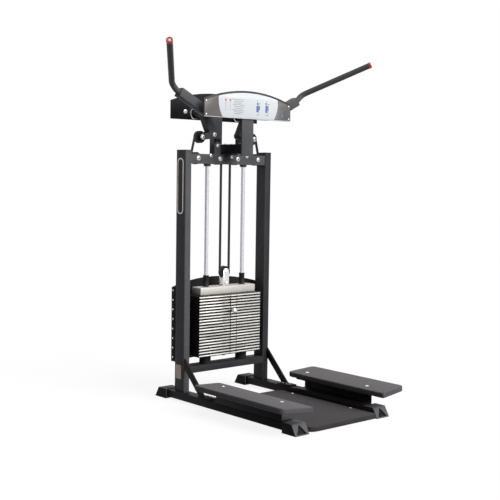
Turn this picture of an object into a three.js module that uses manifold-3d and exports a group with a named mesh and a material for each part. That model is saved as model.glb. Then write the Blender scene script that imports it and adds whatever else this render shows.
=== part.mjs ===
// Standing chest fly machine: weight stack frame, step boards and two swinging arms.
// Millimetres, +Z up. X runs across the machine and the user stands on the -Y side.

import * as THREE from 'three';
import { mergeVertices } from 'three/addons/utils/BufferGeometryUtils.js';
import Module from 'manifold-3d';

const wasm = await Module();
wasm.setup();

// Fits and clearances
const seam = 0.1;
const runningFit = 0.3;
const overrun = 5;

// Facets of round shapes
const roundSides = 20;
const smallSides = 12;
const hiddenSides = 6;
const cornerSteps = 3;
const blendSteps = 6;
const archSteps = 16;

// Uprights
const frameWidth = 600;
const uprightWidth = 40;
const uprightDepth = 80;
const uprightTop = 1328;
const uprightCap = 4;
const tubeCorner = 6;
const tubeWall = 3;

// Runners on the floor
const runnerWidth = 70;
const runnerHeight = 40;
const runnerLift = 9;
const frontReach = 885;
const rearReach = 219;

// End caps that wrap the runners and carry the machine
const footWidth = 90;
const footLength = 95;
const footTopLength = 65;
const footHeight = 52;
const footEndWall = 10;

// Plane of the belt, the guide rods and the weight stack
const stackY = 38;

// Lower crossbar
const crossbarBottom = 147;
const crossbarTop = 183;

// Upper beam of two plates between the uprights
const beamDrop = 19;
const beamHeight = 52;
const beamPlate = 6;
const beamFrontY = 8;
const beamRearY = 66;
const padHeight = 4;
const padWidth = 70;
const spacerRadius = 6;
const outerSpacerDrop = 7;
const innerSpacerX = 18;
const innerSpacerDrop = 11;
const beamBoltRadius = 10;
const smallBoltRadius = 7;
const boltHead = 5;

// Ears on the beam and the rubber stops that they hold
const earInset = 70;
const earRadius = 20;
const earRise = 66;
const stopInnerPlaceShare = 0.374;
const stopOuterInset = 59.5;
const stopDepth = 12;

// Flat belt and its pulleys
const beltThickness = 3;
const beltWidth = 18.4;
const beltGap = 0.5;
const pulleyGroove = 29;
const pulleyFlange = 32.5;
const pulleyFlangeThickness = 1.5;
const pulleyWidth = 22;
const axleRadius = 6;
const axleCollarRadius = 9;
const outerPulleyInset = 51.6;
const beamPulleyDrop = 23;
const beltSplit = 0.4;
const loopRise = 60;
const drumWrap = THREE.MathUtils.degToRad(190);

// Guide rods, their collars and the bumpers
const rodRadius = 11;
const rodPlaceShare = 0.393;
const rodPastBeam = 4;
const collarRadius = 19;
const collarDrop = 12;
const rodBridge = 8;
const rodBridgeWidth = 44;
const bumperRadius = 33;
const bumperHeight = 44.5;

// Weight plates
const plateClearance = 46;
const plateDepth = 118;
const platePitch = 15.65;
const plateGap = 0.15;
const plateChamfer = 3;
const restingPlates = 15;
const liftedPlates = 6;
const rodHoleRadius = 12;

// Top plate, sleeves and selector stem
const topPlateInset = 23;
const topPlateDepth = 76;
const topPlateHeight = 42.5;
const sleeveRadius = 16;
const sleeveHeight = 62;
const stemRadius = 10;
const stemDrop = 15;

// Moving pulley and its bracket
const movingPulleyLift = 74.05;
const bracketWidth = 40;
const bracketPlate = 4;
const bracketBase = 5;
const bracketFrontY = 20;

// Selector pin
const pinRadius = 4;
const pinKnobRadius = 11;
const pinKnobLength = 20;
const pinKnobY = -64;

// Rear shroud
const shroudSheet = 3;
const shroudBottom = 203;
const shroudSideTop = 600;
const shroudTop = 641;
const shroudFlange = 32;
const shroudBulge = 21;
const railWidth = 18;
const railDepth = 26;
const railInset = 12;

// Braces between the uprights and the runners
const braceBar = 10;
const braceSetIn = 2;
const braceTopZ = 231;
const braceBottomZ = 180;
const bracePlate = 6;
const bracePlateWidth = 60;
const bracePlateStart = 132;
const bracePlateEnd = 225;
const braceBoltRadius = 7;
const braceBoltX = 10;
const braceBoltInset = 12;
const braceBoltPitch = 26;
const braceBolts = 3;

// Low platform and the tabs that carry it
const platformClearance = 12;
const platformRearY = -175;
const platformTop = 28;
const platformThickness = 24;
const platformLeftCorner = 60;
const platformRightCorner = 12;
const platformRearCorner = 40;
const tabThickness = 6;
const tabLength = 60;
const tabReach = 48;
const tabClearance = 1;
const rearTabY = -290;
const frontTabSetback = 168;

// Raised step boards and their supports
const boardInnerInset = 40;
const boardOverhang = 142;
const boardInnerTop = 135;
const boardOuterTop = 147.6;
const boardThickness = 27;
const boardInnerRearY = -225;
const boardOuterRearY = -240;
const boardOuterReach = 10;
const boardInnerReach = 32;
const boardCorner = 28;
const boardFrontInnerCorner = 13;
const boardRounding = 3;
const supportWidth = 70;
const supportRearY = -290;
const supportFrontSetback = 110;
const supportWall = 5;

// Head cradle above the beam
const crossMemberWidth = 80;
const crossMemberHeight = 50.5;
const crossMemberFrontY = -133;
const crossMemberRearY = 118;
const crossMemberBoltX = 20;
const postThickness = 10;
const postRise = 63;
const postLap = 8;

// Arched panels on the front and the rear of the head
const panelThickness = 6;
const panelDrop = 31;
const panelSideRise = 61;
const panelCrownRise = 115;
const rearPanelOverhang = 3;
const rearPanelGrowth = 4;
const bearingRadius = 29;
const bearingDepth = 12;

// Swinging arms, measured outward and upward from their pivots
const pivotPlaceShare = 0.5;
const pivotRise = 216;
const shaftRadius = 15;
const pivotBossRadius = 26;
const leverWidth = 46;
const leverDepth = 44;
const toeBoltX = -50;
const toeBoltZ = -112;
const drumX = 31.5;
const drumZ = -127;
const linkPlate = 6;
const linkToeRadius = 20;
const linkDrumRadius = 16;
const linkBoltRadius = 10;
const boomY = -77;
const boomDepth = 46;
const boomHeight = 45;
const boomAngle = THREE.MathUtils.degToRad(27);
const boomEndX = 257;
const boomEndZ = 88.7;
const boomTopBlendX = 110;
const boomTopCurveX = 60;
const boomLowerBlendX = 150;
const boomLowerCurveX = 105;
const boomLowerFlatX = 50;

// Handle tubes and their end caps
const handleRadius = 15.5;
const handleWall = 2.5;
const handleInsert = 60;
const mouthRun = 14;
const mouthBend = 12;
const elbowX = 300;
const elbowZ = 126;
const elbowBend = 28;
const handleSteps = 14;
const handleSides = 8;
const tipX = 539;
const tipY = -378.7;
const tipZ = 292.4;
const capRadius = 16.5;
const capLength = 16;
const capHole = 8.5;
const capSpigot = 15;

// Finishes
const finishes = {
  frame: { color: 0x3a3b3e, roughness: 0.45, metalness: 0.5 },
  dark: { color: 0x1c1c1e, roughness: 0.6, metalness: 0.3 },
  rubber: { color: 0x141414, roughness: 0.9, metalness: 0 },
  board: { color: 0x55555a, roughness: 0.8, metalness: 0 },
  steel: { color: 0xb9b6b0, roughness: 0.35, metalness: 0.9 },
  chrome: { color: 0xd8dadd, roughness: 0.12, metalness: 1 },
  belt: { color: 0x111112, roughness: 0.8, metalness: 0 },
  sign: { color: 0xe8ecf0, roughness: 0.4, metalness: 0 },
  red: { color: 0xb01020, roughness: 0.35, metalness: 0.1 },
};
const materials = Object.fromEntries(
  Object.entries(finishes).map(([name, look]) => [name, new THREE.MeshStandardMaterial(look)]),
);

// Sizes that follow from the ones above
const half = (length) => length / 2;
const mean = (a, b) => (a + b) / 2;
const uprightX = half(frameWidth - uprightWidth);
const uprightInnerX = half(frameWidth) - uprightWidth;
const runnerTop = runnerLift + runnerHeight;
const beamTop = uprightTop - beamDrop;
const beamBottom = beamTop - beamHeight;
const beamPulleyZ = beamTop - beamPulleyDrop;
const outerSpacerZ = beamTop - outerSpacerDrop;
const innerSpacerZ = beamTop - innerSpacerDrop;
const earTop = beamTop + earRise;
const rodTop = beamBottom + rodPastBeam;
const pivotZ = beamTop + pivotRise;
const postTop = pivotZ + postRise;
const postBottom = beamTop - postLap;
const panelBottom = pivotZ - panelDrop;
const panelSideTop = pivotZ + panelSideRise;
const panelCrown = pivotZ + panelCrownRise;
const crossMemberBottom = beamTop + padHeight;
const beltRadius = pulleyGroove + beltGap + half(beltThickness);
const innerPulleyX = beltRadius + beltRadius;
const outerPulleyX = uprightInnerX - outerPulleyInset;
const flangeGap = outerPulleyX - innerPulleyX - pulleyFlange - pulleyFlange;
const rodX = innerPulleyX + pulleyFlange + rodPlaceShare * flangeGap;
const outerSpacerX = rodX;
const plateWidth = 2 * (uprightInnerX - plateClearance);
const topPlateWidth = plateWidth - topPlateInset - topPlateInset;
const shroudWidth = frameWidth;
const frontPanelWidth = frameWidth;
const rearPanelWidth = frameWidth + rearPanelOverhang + rearPanelOverhang;
const platformWidth = 2 * (uprightX - half(runnerWidth) - platformClearance);
const platformFrontY = -frontReach;
const frontTabY = frontTabSetback - frontReach;
const boardInnerX = uprightX - boardInnerInset;
const boardOuterX = uprightX + boardOverhang;
const boardOuterFrontY = -frontReach - boardOuterReach;
const boardInnerFrontY = -frontReach - boardInnerReach;
const supportInnerX = uprightX - half(supportWidth);
const supportOuterX = uprightX + half(supportWidth);
const supportFrontY = supportFrontSetback - frontReach;
const pivotX = pivotPlaceShare * half(frameWidth);
const earX = pivotX - earInset;
const stopInnerX = stopInnerPlaceShare * pivotX;
const stopOuterX = pivotX - stopOuterInset;
const beamGapFrontY = beamFrontY + beamPlate;
const pulleyFrontY = stackY - half(pulleyWidth);
const pulleyRearY = stackY + half(pulleyWidth);
const stackBottom = crossbarTop + bumperHeight + runningFit;
const restingTop = stackBottom + restingPlates * platePitch;
const liftedTop = restingTop + liftedPlates * platePitch;
const topPlateTop = liftedTop + topPlateHeight;
const movingPulleyZ = topPlateTop + movingPulleyLift;
const bracketTop = movingPulleyZ + half(bracketWidth);
const leverTurn = Math.atan2(toeBoltX, -toeBoltZ);

// Joining and cutting of closed solids

function solidOf(geometry) {
  const plain = geometry.clone();
  plain.deleteAttribute('normal');
  plain.deleteAttribute('uv');
  const merged = mergeVertices(plain);
  const mesh = new wasm.Mesh({
    numProp: 3,
    vertProperties: new Float32Array(merged.attributes.position.array),
    triVerts: new Uint32Array(merged.index.array),
  });
  return new wasm.Manifold(mesh);
}

function geometryOf(solid) {
  const mesh = solid.getMesh();
  const shared = new THREE.BufferGeometry();
  shared.setAttribute('position', new THREE.BufferAttribute(mesh.vertProperties, 3));
  shared.setIndex(new THREE.BufferAttribute(mesh.triVerts, 1));
  const geometry = shared.toNonIndexed();
  geometry.computeVertexNormals();
  return geometry;
}

function join(...geometries) {
  return geometryOf(geometries.map(solidOf).reduce((whole, piece) => whole.add(piece)));
}

function cut(body, ...tools) {
  return geometryOf(tools.map(solidOf).reduce((rest, tool) => rest.subtract(tool), solidOf(body)));
}

function overlap(a, b) {
  return geometryOf(solidOf(a).intersect(solidOf(b)));
}

function mirrored(geometry) {
  const flipped = geometry.index ? geometry.toNonIndexed() : geometry.clone();
  const position = flipped.attributes.position;
  for (let i = 0; i < position.count; i += 3) {
    const second = new THREE.Vector3().fromBufferAttribute(position, i + 1);
    const third = new THREE.Vector3().fromBufferAttribute(position, i + 2);
    position.setXYZ(i + 1, ...third.toArray());
    position.setXYZ(i + 2, ...second.toArray());
  }
  flipped.scale(-1, 1, 1);
  flipped.computeVertexNormals();
  return flipped;
}

// Basic solids placed by their ends

function boxBetween([x0, y0, z0], [x1, y1, z1]) {
  const box = new THREE.BoxGeometry(Math.abs(x1 - x0), Math.abs(y1 - y0), Math.abs(z1 - z0));
  return box.translate(mean(x0, x1), mean(y0, y1), mean(z0, z1));
}

function rodAlongY(radius, x, z, y0, y1, sides = roundSides) {
  const rod = new THREE.CylinderGeometry(radius, radius, Math.abs(y1 - y0), sides);
  return rod.translate(x, mean(y0, y1), z);
}

function rodAlongZ(radius, x, y, z0, z1, sides = roundSides) {
  const rod = new THREE.CylinderGeometry(radius, radius, Math.abs(z1 - z0), sides);
  rod.rotateX(Math.PI / 2);
  return rod.translate(x, y, mean(z0, z1));
}

function rodBetween(radius, from, to) {
  const run = to.clone().sub(from);
  const rod = new THREE.CylinderGeometry(radius, radius, run.length(), roundSides);
  rod.applyQuaternion(new THREE.Quaternion().setFromUnitVectors(new THREE.Vector3(0, 1, 0), run.normalize()));
  return rod.translate(mean(from.x, to.x), mean(from.y, to.y), mean(from.z, to.z));
}

// Outlines drawn in a plane and extruded square to it

function extruded(shape, depth) {
  return new THREE.ExtrudeGeometry(shape, { depth, bevelEnabled: false, curveSegments: blendSteps });
}

function plateAlongY(shapeXZ, y0, y1) {
  const plate = extruded(shapeXZ, y1 - y0);
  plate.rotateX(Math.PI / 2);
  return plate.translate(0, y1, 0);
}

function barAlongX(shapeYZ, x0, x1) {
  const bar = extruded(shapeYZ, x1 - x0);
  const turn = new THREE.Matrix4().makeBasis(
    new THREE.Vector3(0, 1, 0),
    new THREE.Vector3(0, 0, 1),
    new THREE.Vector3(1, 0, 0),
  );
  bar.applyMatrix4(turn);
  return bar.translate(x0, 0, 0);
}

function polygon(points) {
  return new THREE.Shape(points.map(([x, y]) => new THREE.Vector2(x, y)));
}

function roundedPolygon(corners, radii) {
  const shape = new THREE.Shape();
  corners.forEach(([x, y], i) => {
    const corner = new THREE.Vector2(x, y);
    const before = new THREE.Vector2(...corners.at(i - 1));
    const after = new THREE.Vector2(...corners.at((i + 1) % corners.length));
    const start = corner.clone().addScaledVector(before.sub(corner).normalize(), radii[i]);
    const end = corner.clone().addScaledVector(after.sub(corner).normalize(), radii[i]);
    if (i === 0) {
      shape.moveTo(start.x, start.y);
    } else {
      shape.lineTo(start.x, start.y);
    }
    shape.quadraticCurveTo(corner.x, corner.y, end.x, end.y);
  });
  shape.closePath();
  return shape;
}

// A link with one round end of each radius
function taperedLink([ax, az], aRadius, [bx, bz], bRadius) {
  const along = Math.atan2(bz - az, bx - ax);
  const lean = Math.acos((aRadius - bRadius) / Math.hypot(bx - ax, bz - az));
  const shape = new THREE.Shape();
  shape.absarc(ax, az, aRadius, along + lean, along - lean + 2 * Math.PI, false);
  shape.absarc(bx, bz, bRadius, along - lean, along + lean, false);
  shape.closePath();
  return shape;
}

// A rectangular tube along Z with rounded corners, open at its lower end
function tubeAlongZ(width, depth, length, cap) {
  const halfWidth = half(width);
  const halfDepth = half(depth);
  const outline = (inset) => {
    const x = halfWidth - inset;
    const y = halfDepth - inset;
    const radius = tubeCorner - inset;
    return roundedPolygon([[-x, -y], [x, -y], [x, y], [-x, y]], Array(4).fill(radius));
  };
  const flat = { bevelEnabled: false, curveSegments: cornerSteps };
  const outer = new THREE.ExtrudeGeometry(outline(0), { depth: length, ...flat });
  const inner = new THREE.ExtrudeGeometry(outline(tubeWall), { depth: length + overrun - cap, ...flat });
  return cut(outer, inner.translate(0, 0, -overrun));
}

// A block with its upper and lower edges chamfered
function chamferedBlock(width, depth, height, chamfer) {
  const x = half(width);
  const y = half(depth);
  const block = new THREE.ExtrudeGeometry(polygon([[-x, -y], [x, -y], [x, y], [-x, y]]), {
    depth: height - chamfer - chamfer,
    bevelThickness: chamfer,
    bevelSize: chamfer,
    bevelOffset: -chamfer,
    bevelSegments: 1,
  });
  return block.translate(0, 0, chamfer);
}

// A flat ribbon of even thickness along a line of points in the XZ plane
function ribbon(points, thickness, y0, y1) {
  const near = [];
  const far = [];
  points.forEach((point, i) => {
    const before = points[Math.max(i - 1, 0)];
    const after = points[Math.min(i + 1, points.length - 1)];
    const run = after.clone().sub(before).normalize();
    const across = new THREE.Vector2(-run.y, run.x).multiplyScalar(half(thickness));
    near.push(point.clone().add(across));
    far.push(point.clone().sub(across));
  });
  return plateAlongY(new THREE.Shape([...far, ...near.reverse()]), y0, y1);
}

function arcPoints(x, z, radius, from, to, count = 0) {
  const steps = count || Math.ceil(Math.abs(to - from) / (2 * Math.PI / roundSides));
  return Array.from({ length: steps + 1 }, (_, i) => {
    const angle = THREE.MathUtils.lerp(from, to, i / steps);
    return new THREE.Vector2(x + radius * Math.cos(angle), z + radius * Math.sin(angle));
  });
}

// Scene graph

const machine = new THREE.Group();
const model = new THREE.Group();
const armRight = new THREE.Group();
const armLeft = new THREE.Group();
const stack = new THREE.Group();
machine.add(model);
model.add(armRight, armLeft, stack);
armRight.position.set(pivotX, 0, pivotZ);
armLeft.position.set(-pivotX, 0, pivotZ);

function addPiece(parent, name, geometry, finish, [x, y, z] = [0, 0, 0]) {
  const mesh = new THREE.Mesh(geometry, materials[finish]);
  mesh.name = name;
  mesh.position.set(x, y, z);
  parent.add(mesh);
}

// A piece on the right and its mirror image on the left
function addPair(name, geometry, finish, [x, y, z] = [0, 0, 0], right = model, left = model) {
  addPiece(right, `${name}_right`, geometry, finish, [x, y, z]);
  addPiece(left, `${name}_left`, mirrored(geometry), finish, [-x, y, z]);
}

// Uprights, with the rails behind them that the shroud is screwed to

function uprightGeometry() {
  const length = uprightTop - runnerTop - seam;
  const tube = tubeAlongZ(uprightWidth, uprightDepth, length, uprightCap);
  tube.translate(uprightX, half(uprightDepth), runnerTop + seam);
  const railOuterX = half(shroudWidth) - shroudSheet - runningFit;
  const rail = boxBetween(
    [railOuterX - railWidth, uprightDepth - half(tubeWall), shroudBottom + railInset],
    [railOuterX, uprightDepth + railDepth, shroudSideTop - railInset],
  );
  return join(tube, rail);
}

addPair('upright', uprightGeometry(), 'frame');

// Runners, with the tabs that carry the low platform

const runnerFrontY = footEndWall + footLength - footTopLength - frontReach;
const runnerRearY = rearReach - footEndWall - (footLength - footTopLength);
const tabTop = runnerLift + tabThickness;

function runnerGeometry() {
  const length = runnerRearY - runnerFrontY;
  const tube = tubeAlongZ(runnerWidth, runnerHeight, length, 0);
  tube.rotateX(-Math.PI / 2);
  tube.translate(uprightX, runnerFrontY, runnerLift + half(runnerHeight));
  const innerX = uprightX - half(runnerWidth);
  const tabs = [rearTabY, frontTabY].map((y) => boxBetween(
    [innerX - tabReach, y - half(tabLength), runnerLift],
    [innerX + tubeWall, y + half(tabLength), tabTop],
  ));
  return join(tube, ...tabs);
}

addPair('runner', runnerGeometry(), 'dark');

// Feet: sloping caps with a pocket for the runner's end

function footGeometry(outerY, towardMiddle) {
  const at = (run) => outerY + towardMiddle * run;
  const outline = polygon([
    [at(0), 0],
    [at(footLength), 0],
    [at(footLength), footHeight],
    [at(footLength - footTopLength), footHeight],
  ]);
  const block = barAlongX(outline, uprightX - half(footWidth), uprightX + half(footWidth));
  const pocket = boxBetween(
    [uprightX - half(runnerWidth) - runningFit, at(footLength + overrun), runnerLift - seam],
    [
      uprightX + half(runnerWidth) + runningFit,
      at(footLength - footTopLength + footEndWall - runningFit),
      runnerTop + runningFit,
    ],
  );
  return cut(block, pocket);
}

addPair('foot_front', footGeometry(-frontReach, 1), 'rubber');
addPair('foot_rear', footGeometry(rearReach, -1), 'rubber');

// Crossbar between the uprights, open at both ends

function crossbarGeometry() {
  const inner = uprightInnerX - seam;
  const bar = boxBetween([-inner, 0, crossbarBottom], [inner, uprightDepth, crossbarTop]);
  const bore = boxBetween(
    [-inner - overrun, tubeWall, crossbarBottom + tubeWall],
    [inner + overrun, uprightDepth - tubeWall, crossbarTop - tubeWall],
  );
  return cut(bar, bore);
}

addPiece(model, 'lower_crossbar', crossbarGeometry(), 'frame');

// Braces with their foot plates

function braceGeometry() {
  const plateTop = runnerTop + seam + bracePlate;
  const outline = polygon([
    [-seam, braceBottomZ],
    [-seam, braceTopZ],
    [plateTop - half(bracePlate) - braceTopZ, plateTop - half(bracePlate)],
    [plateTop - half(bracePlate) - braceBottomZ, plateTop - half(bracePlate)],
  ]);
  const outerX = uprightX + half(uprightWidth) - braceSetIn;
  const bar = barAlongX(outline, outerX - braceBar, outerX);
  const plate = boxBetween(
    [uprightX - half(bracePlateWidth), -bracePlateEnd, runnerTop + seam],
    [uprightX + half(bracePlateWidth), -bracePlateStart, plateTop],
  );
  const bolts = Array.from({ length: braceBolts }, (_, i) => rodAlongZ(
    braceBoltRadius,
    uprightX - braceBoltX,
    braceBoltInset - bracePlateEnd + i * braceBoltPitch,
    plateTop - half(bracePlate),
    plateTop + boltHead,
    smallSides,
  ));
  return join(bar, plate, ...bolts);
}

addPair('brace', braceGeometry(), 'frame');

// Low platform, recessed over the tabs

function platformGeometry() {
  const x = half(platformWidth);
  const outline = roundedPolygon(
    [[-x, platformFrontY], [x, platformFrontY], [x, platformRearY], [-x, platformRearY]],
    [platformLeftCorner, platformRightCorner, platformRearCorner, platformRearCorner],
  );
  const slab = extruded(outline, platformThickness);
  slab.translate(0, 0, platformTop - platformThickness);
  const tabInnerX = uprightX - half(runnerWidth) - tabReach - tabClearance;
  const recesses = [-1, 1].flatMap((side) => [rearTabY, frontTabY].map((y) => boxBetween(
    [side * tabInnerX, y - half(tabLength) - tabClearance, platformTop - platformThickness - overrun],
    [side * (x + overrun), y + half(tabLength) + tabClearance, tabTop + seam],
  )));
  return cut(slab, ...recesses);
}

addPiece(model, 'low_platform', platformGeometry(), 'board');

// Step boards, canted inward, on folded channels that are open toward the middle

const boardSlope = Math.atan2(boardOuterTop - boardInnerTop, boardOuterX - boardInnerX);
const boardUnderside = (x) => (
  boardInnerTop + (x - boardInnerX) * Math.tan(boardSlope) - boardThickness / Math.cos(boardSlope)
);

function boardGeometry() {
  const outline = roundedPolygon(
    [
      [0, boardInnerFrontY],
      [boardOuterX - boardInnerX, boardOuterFrontY],
      [boardOuterX - boardInnerX, boardOuterRearY],
      [0, boardInnerRearY],
    ],
    [boardFrontInnerCorner, boardCorner, boardCorner, boardCorner],
  );
  const board = new THREE.ExtrudeGeometry(outline, {
    depth: boardThickness - boardRounding - boardRounding,
    bevelThickness: boardRounding,
    bevelSize: boardRounding,
    bevelOffset: -boardRounding,
    bevelSegments: 1,
    curveSegments: blendSteps,
  });
  board.translate(0, 0, boardRounding - boardThickness);
  board.rotateY(-boardSlope);
  return board.translate(boardInnerX, 0, boardInnerTop);
}

function supportGeometry() {
  const bottom = runnerTop + seam;
  const top = (x) => boardUnderside(x) - runningFit;
  const webX = supportOuterX - supportWall;
  const profile = polygon([
    [supportInnerX, bottom],
    [supportOuterX, bottom],
    [supportOuterX, top(supportOuterX)],
    [supportInnerX, top(supportInnerX)],
    [supportInnerX, top(supportInnerX) - supportWall],
    [webX, top(webX) - supportWall],
    [webX, bottom + supportWall],
    [supportInnerX, bottom + supportWall],
  ]);
  return plateAlongY(profile, supportFrontY, supportRearY);
}

addPair('step_board', boardGeometry(), 'board');
addPair('step_support', supportGeometry(), 'dark');

// Rear shroud: one bent sheet with side flanges and an arched top edge

const shroudRearY = uprightDepth + seam + shroudFlange;

function archedOutline(width, bottom, sideTop, crown) {
  const x = half(width);
  const rise = crown - sideTop;
  const radius = half((x * x + rise * rise) / rise);
  const sweep = Math.asin(x / radius);
  const shape = new THREE.Shape();
  shape.moveTo(-x, bottom);
  shape.lineTo(x, bottom);
  arcPoints(0, crown - radius, radius, Math.PI / 2 - sweep, Math.PI / 2 + sweep, archSteps)
    .forEach((point) => shape.lineTo(point.x, point.y));
  shape.closePath();
  return shape;
}

function shroudGeometry() {
  const back = (inset) => {
    const x = half(shroudWidth) - inset;
    const radius = half((x * x + shroudBulge * shroudBulge) / shroudBulge);
    const sweep = Math.asin(x / radius);
    const centreY = shroudRearY + shroudBulge - inset - radius;
    const rim = arcPoints(0, centreY, radius, Math.PI / 2 + sweep, Math.PI / 2 - sweep, archSteps);
    return rim.map((point) => [point.x, point.y]);
  };
  const frontY = uprightDepth + seam;
  const outerX = half(shroudWidth);
  const innerX = outerX - shroudSheet;
  const outline = polygon([
    [-innerX, frontY],
    [-outerX, frontY],
    ...back(0),
    [outerX, frontY],
    [innerX, frontY],
    ...back(shroudSheet).reverse(),
  ]);
  const sheet = extruded(outline, shroudTop - shroudBottom);
  sheet.translate(0, 0, shroudBottom);
  const arch = plateAlongY(
    archedOutline(shroudWidth + overrun, shroudBottom - overrun, shroudSideTop, shroudTop),
    frontY - overrun,
    shroudRearY + shroudBulge + overrun,
  );
  return overlap(sheet, arch);
}

addPiece(model, 'rear_shroud', shroudGeometry(), 'dark');

// Guide rods and the bumpers that the weights rest on

const rodBottom = crossbarTop + seam;
addPair('guide_rod', rodAlongZ(rodRadius, rodX, stackY, rodBottom, rodTop), 'chrome');

const bumperGeometry = cut(
  rodAlongZ(bumperRadius, rodX, stackY, rodBottom, crossbarTop + bumperHeight),
  rodAlongZ(rodRadius + runningFit, rodX, stackY, rodBottom - overrun, stackBottom + overrun),
);
addPair('bumper', bumperGeometry, 'rubber');

// Upper beam: two plates joined by pulley axles and spacers

const beamEndX = uprightInnerX - seam;
const pulleyXs = [-outerPulleyX, -innerPulleyX, innerPulleyX, outerPulleyX];
const spacers = [-1, 1].flatMap((side) => [
  [side * outerSpacerX, outerSpacerZ],
  [side * innerSpacerX, innerSpacerZ],
]);

function beamPlateGeometry(y0) {
  const y1 = y0 + beamPlate;
  return join(
    boxBetween([-beamEndX, y0, beamBottom], [beamEndX, y1, beamTop]),
    boxBetween([-half(padWidth), y0, beamBottom], [half(padWidth), y1, crossMemberBottom]),
  );
}

function frontBeamGeometry() {
  const rearEnd = beamRearY - seam;
  const plateMidY = beamFrontY + half(beamPlate);
  const headY = beamFrontY - boltHead;
  const ears = [-earX, earX].flatMap((x) => [
    boxBetween([x - earRadius, beamFrontY, beamBottom], [x + earRadius, beamGapFrontY, earTop - earRadius]),
    rodAlongY(earRadius, x, earTop - earRadius, beamFrontY, beamGapFrontY),
    rodAlongY(smallBoltRadius, x, earTop - earRadius, headY, plateMidY, smallSides),
  ]);
  const axles = pulleyXs.flatMap((x) => [
    rodAlongY(axleRadius, x, beamPulleyZ, plateMidY, rearEnd, smallSides),
    rodAlongY(axleCollarRadius, x, beamPulleyZ, plateMidY, pulleyFrontY - runningFit, smallSides),
    rodAlongY(beamBoltRadius, x, beamPulleyZ, headY, plateMidY, smallSides),
  ]);
  const tubes = spacers.flatMap(([x, z]) => [
    rodAlongY(spacerRadius, x, z, plateMidY, rearEnd, smallSides),
    rodAlongY(smallBoltRadius, x, z, headY, plateMidY, smallSides),
  ]);
  return join(beamPlateGeometry(beamFrontY), ...ears, ...axles, ...tubes);
}

function rearBeamGeometry() {
  const plateMidY = beamRearY + half(beamPlate);
  const headY = beamRearY + beamPlate + boltHead;
  const heads = pulleyXs.map((x) => (
    rodAlongY(beamBoltRadius, x, beamPulleyZ, plateMidY, headY, smallSides)
  ));
  const nuts = spacers.map(([x, z]) => rodAlongY(smallBoltRadius, x, z, plateMidY, headY, smallSides));
  const bridges = [-rodX, rodX].flatMap((x) => [
    boxBetween(
      [x - half(rodBridgeWidth), beamGapFrontY + seam, beamBottom],
      [x + half(rodBridgeWidth), plateMidY, beamBottom + rodBridge],
    ),
    rodAlongZ(collarRadius, x, stackY, beamBottom - collarDrop, beamBottom + half(rodBridge)),
  ]);
  const body = join(beamPlateGeometry(beamRearY), ...heads, ...nuts, ...bridges);
  const bores = [-rodX, rodX].map((x) => rodAlongZ(
    rodRadius + runningFit,
    x,
    stackY,
    beamBottom - collarDrop - overrun,
    beamBottom + rodBridge + overrun,
  ));
  const axleCollars = pulleyXs.map((x) => cut(
    rodAlongY(axleCollarRadius, x, beamPulleyZ, pulleyRearY + runningFit, plateMidY, smallSides),
    rodAlongY(axleRadius + runningFit, x, beamPulleyZ, pulleyRearY - overrun, beamRearY),
  ));
  return join(cut(body, ...bores), ...axleCollars);
}

addPiece(model, 'beam_front_plate', frontBeamGeometry(), 'frame');
addPiece(model, 'beam_rear_plate', rearBeamGeometry(), 'frame');

// Flanged belt pulleys

function pulleyGeometry() {
  const bore = axleRadius + runningFit;
  const end = half(pulleyWidth);
  const shoulder = end - pulleyFlangeThickness;
  const profile = [
    [bore, -end],
    [pulleyFlange, -end],
    [pulleyFlange, -shoulder],
    [pulleyGroove, -shoulder],
    [pulleyGroove, shoulder],
    [pulleyFlange, shoulder],
    [pulleyFlange, end],
    [bore, end],
    [bore, -end],
  ];
  return new THREE.LatheGeometry(profile.map(([r, y]) => new THREE.Vector2(r, y)), roundSides);
}

addPair('beam_pulley_outer', pulleyGeometry(), 'dark', [outerPulleyX, stackY, beamPulleyZ]);
addPair('beam_pulley_inner', pulleyGeometry(), 'dark', [innerPulleyX, stackY, beamPulleyZ]);

// Lever outline helpers: along the lever from the pivot and across it

const leverRun = new THREE.Vector2(toeBoltX, toeBoltZ).normalize();
const leverPoint = (along, across) => [
  leverRun.x * along - leverRun.y * across,
  leverRun.y * along + leverRun.x * across,
];
const leverHeading = leverRun.angle();
const leverReach = Math.hypot(toeBoltX, toeBoltZ) + half(leverWidth);
const leverEnd = arcPoints(
  toeBoltX,
  toeBoltZ,
  half(leverWidth),
  leverHeading - half(Math.PI),
  leverHeading + half(Math.PI),
);
const stopDrop = Math.sqrt(leverReach ** 2 - stopOuterInset ** 2);

// Stop blocks behind the ears, under the lever toes

const stopFrontY = beamGapFrontY + seam;
const stopGeometry = boxBetween(
  [stopInnerX, stopFrontY, crossMemberBottom],
  [stopOuterX, stopFrontY + stopDepth, pivotZ - stopDrop - seam],
);
addPair('stop_block', stopGeometry, 'rubber');

// Head cradle: a cross member on the beam with a post at each end

function crossMemberGeometry() {
  const length = crossMemberRearY - crossMemberFrontY;
  const tube = tubeAlongZ(crossMemberWidth, crossMemberHeight, length, 0);
  tube.rotateX(-Math.PI / 2);
  const bottom = crossMemberBottom + seam;
  const top = bottom + crossMemberHeight;
  tube.translate(0, crossMemberFrontY, mean(bottom, top));
  const boltYs = [mean(beamFrontY, beamGapFrontY), beamRearY + half(beamPlate)];
  const heads = [-crossMemberBoltX, crossMemberBoltX].flatMap((x) => boltYs.map((y) => rodAlongZ(
    smallBoltRadius,
    x,
    y,
    top - half(tubeWall),
    top + boltHead,
    smallSides,
  )));
  return join(tube, ...heads);
}

const frontPostY = crossMemberFrontY - seam - postThickness;
const rearPostY = crossMemberRearY + seam;
const postX = half(crossMemberWidth);
const postAt = (y) => boxBetween([-postX, y, postBottom], [postX, y + postThickness, postTop]);
addPiece(model, 'head_cross_member', crossMemberGeometry(), 'frame');
addPiece(model, 'head_post_front', postAt(frontPostY), 'frame');
addPiece(model, 'head_post_rear', postAt(rearPostY), 'frame');

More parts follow.
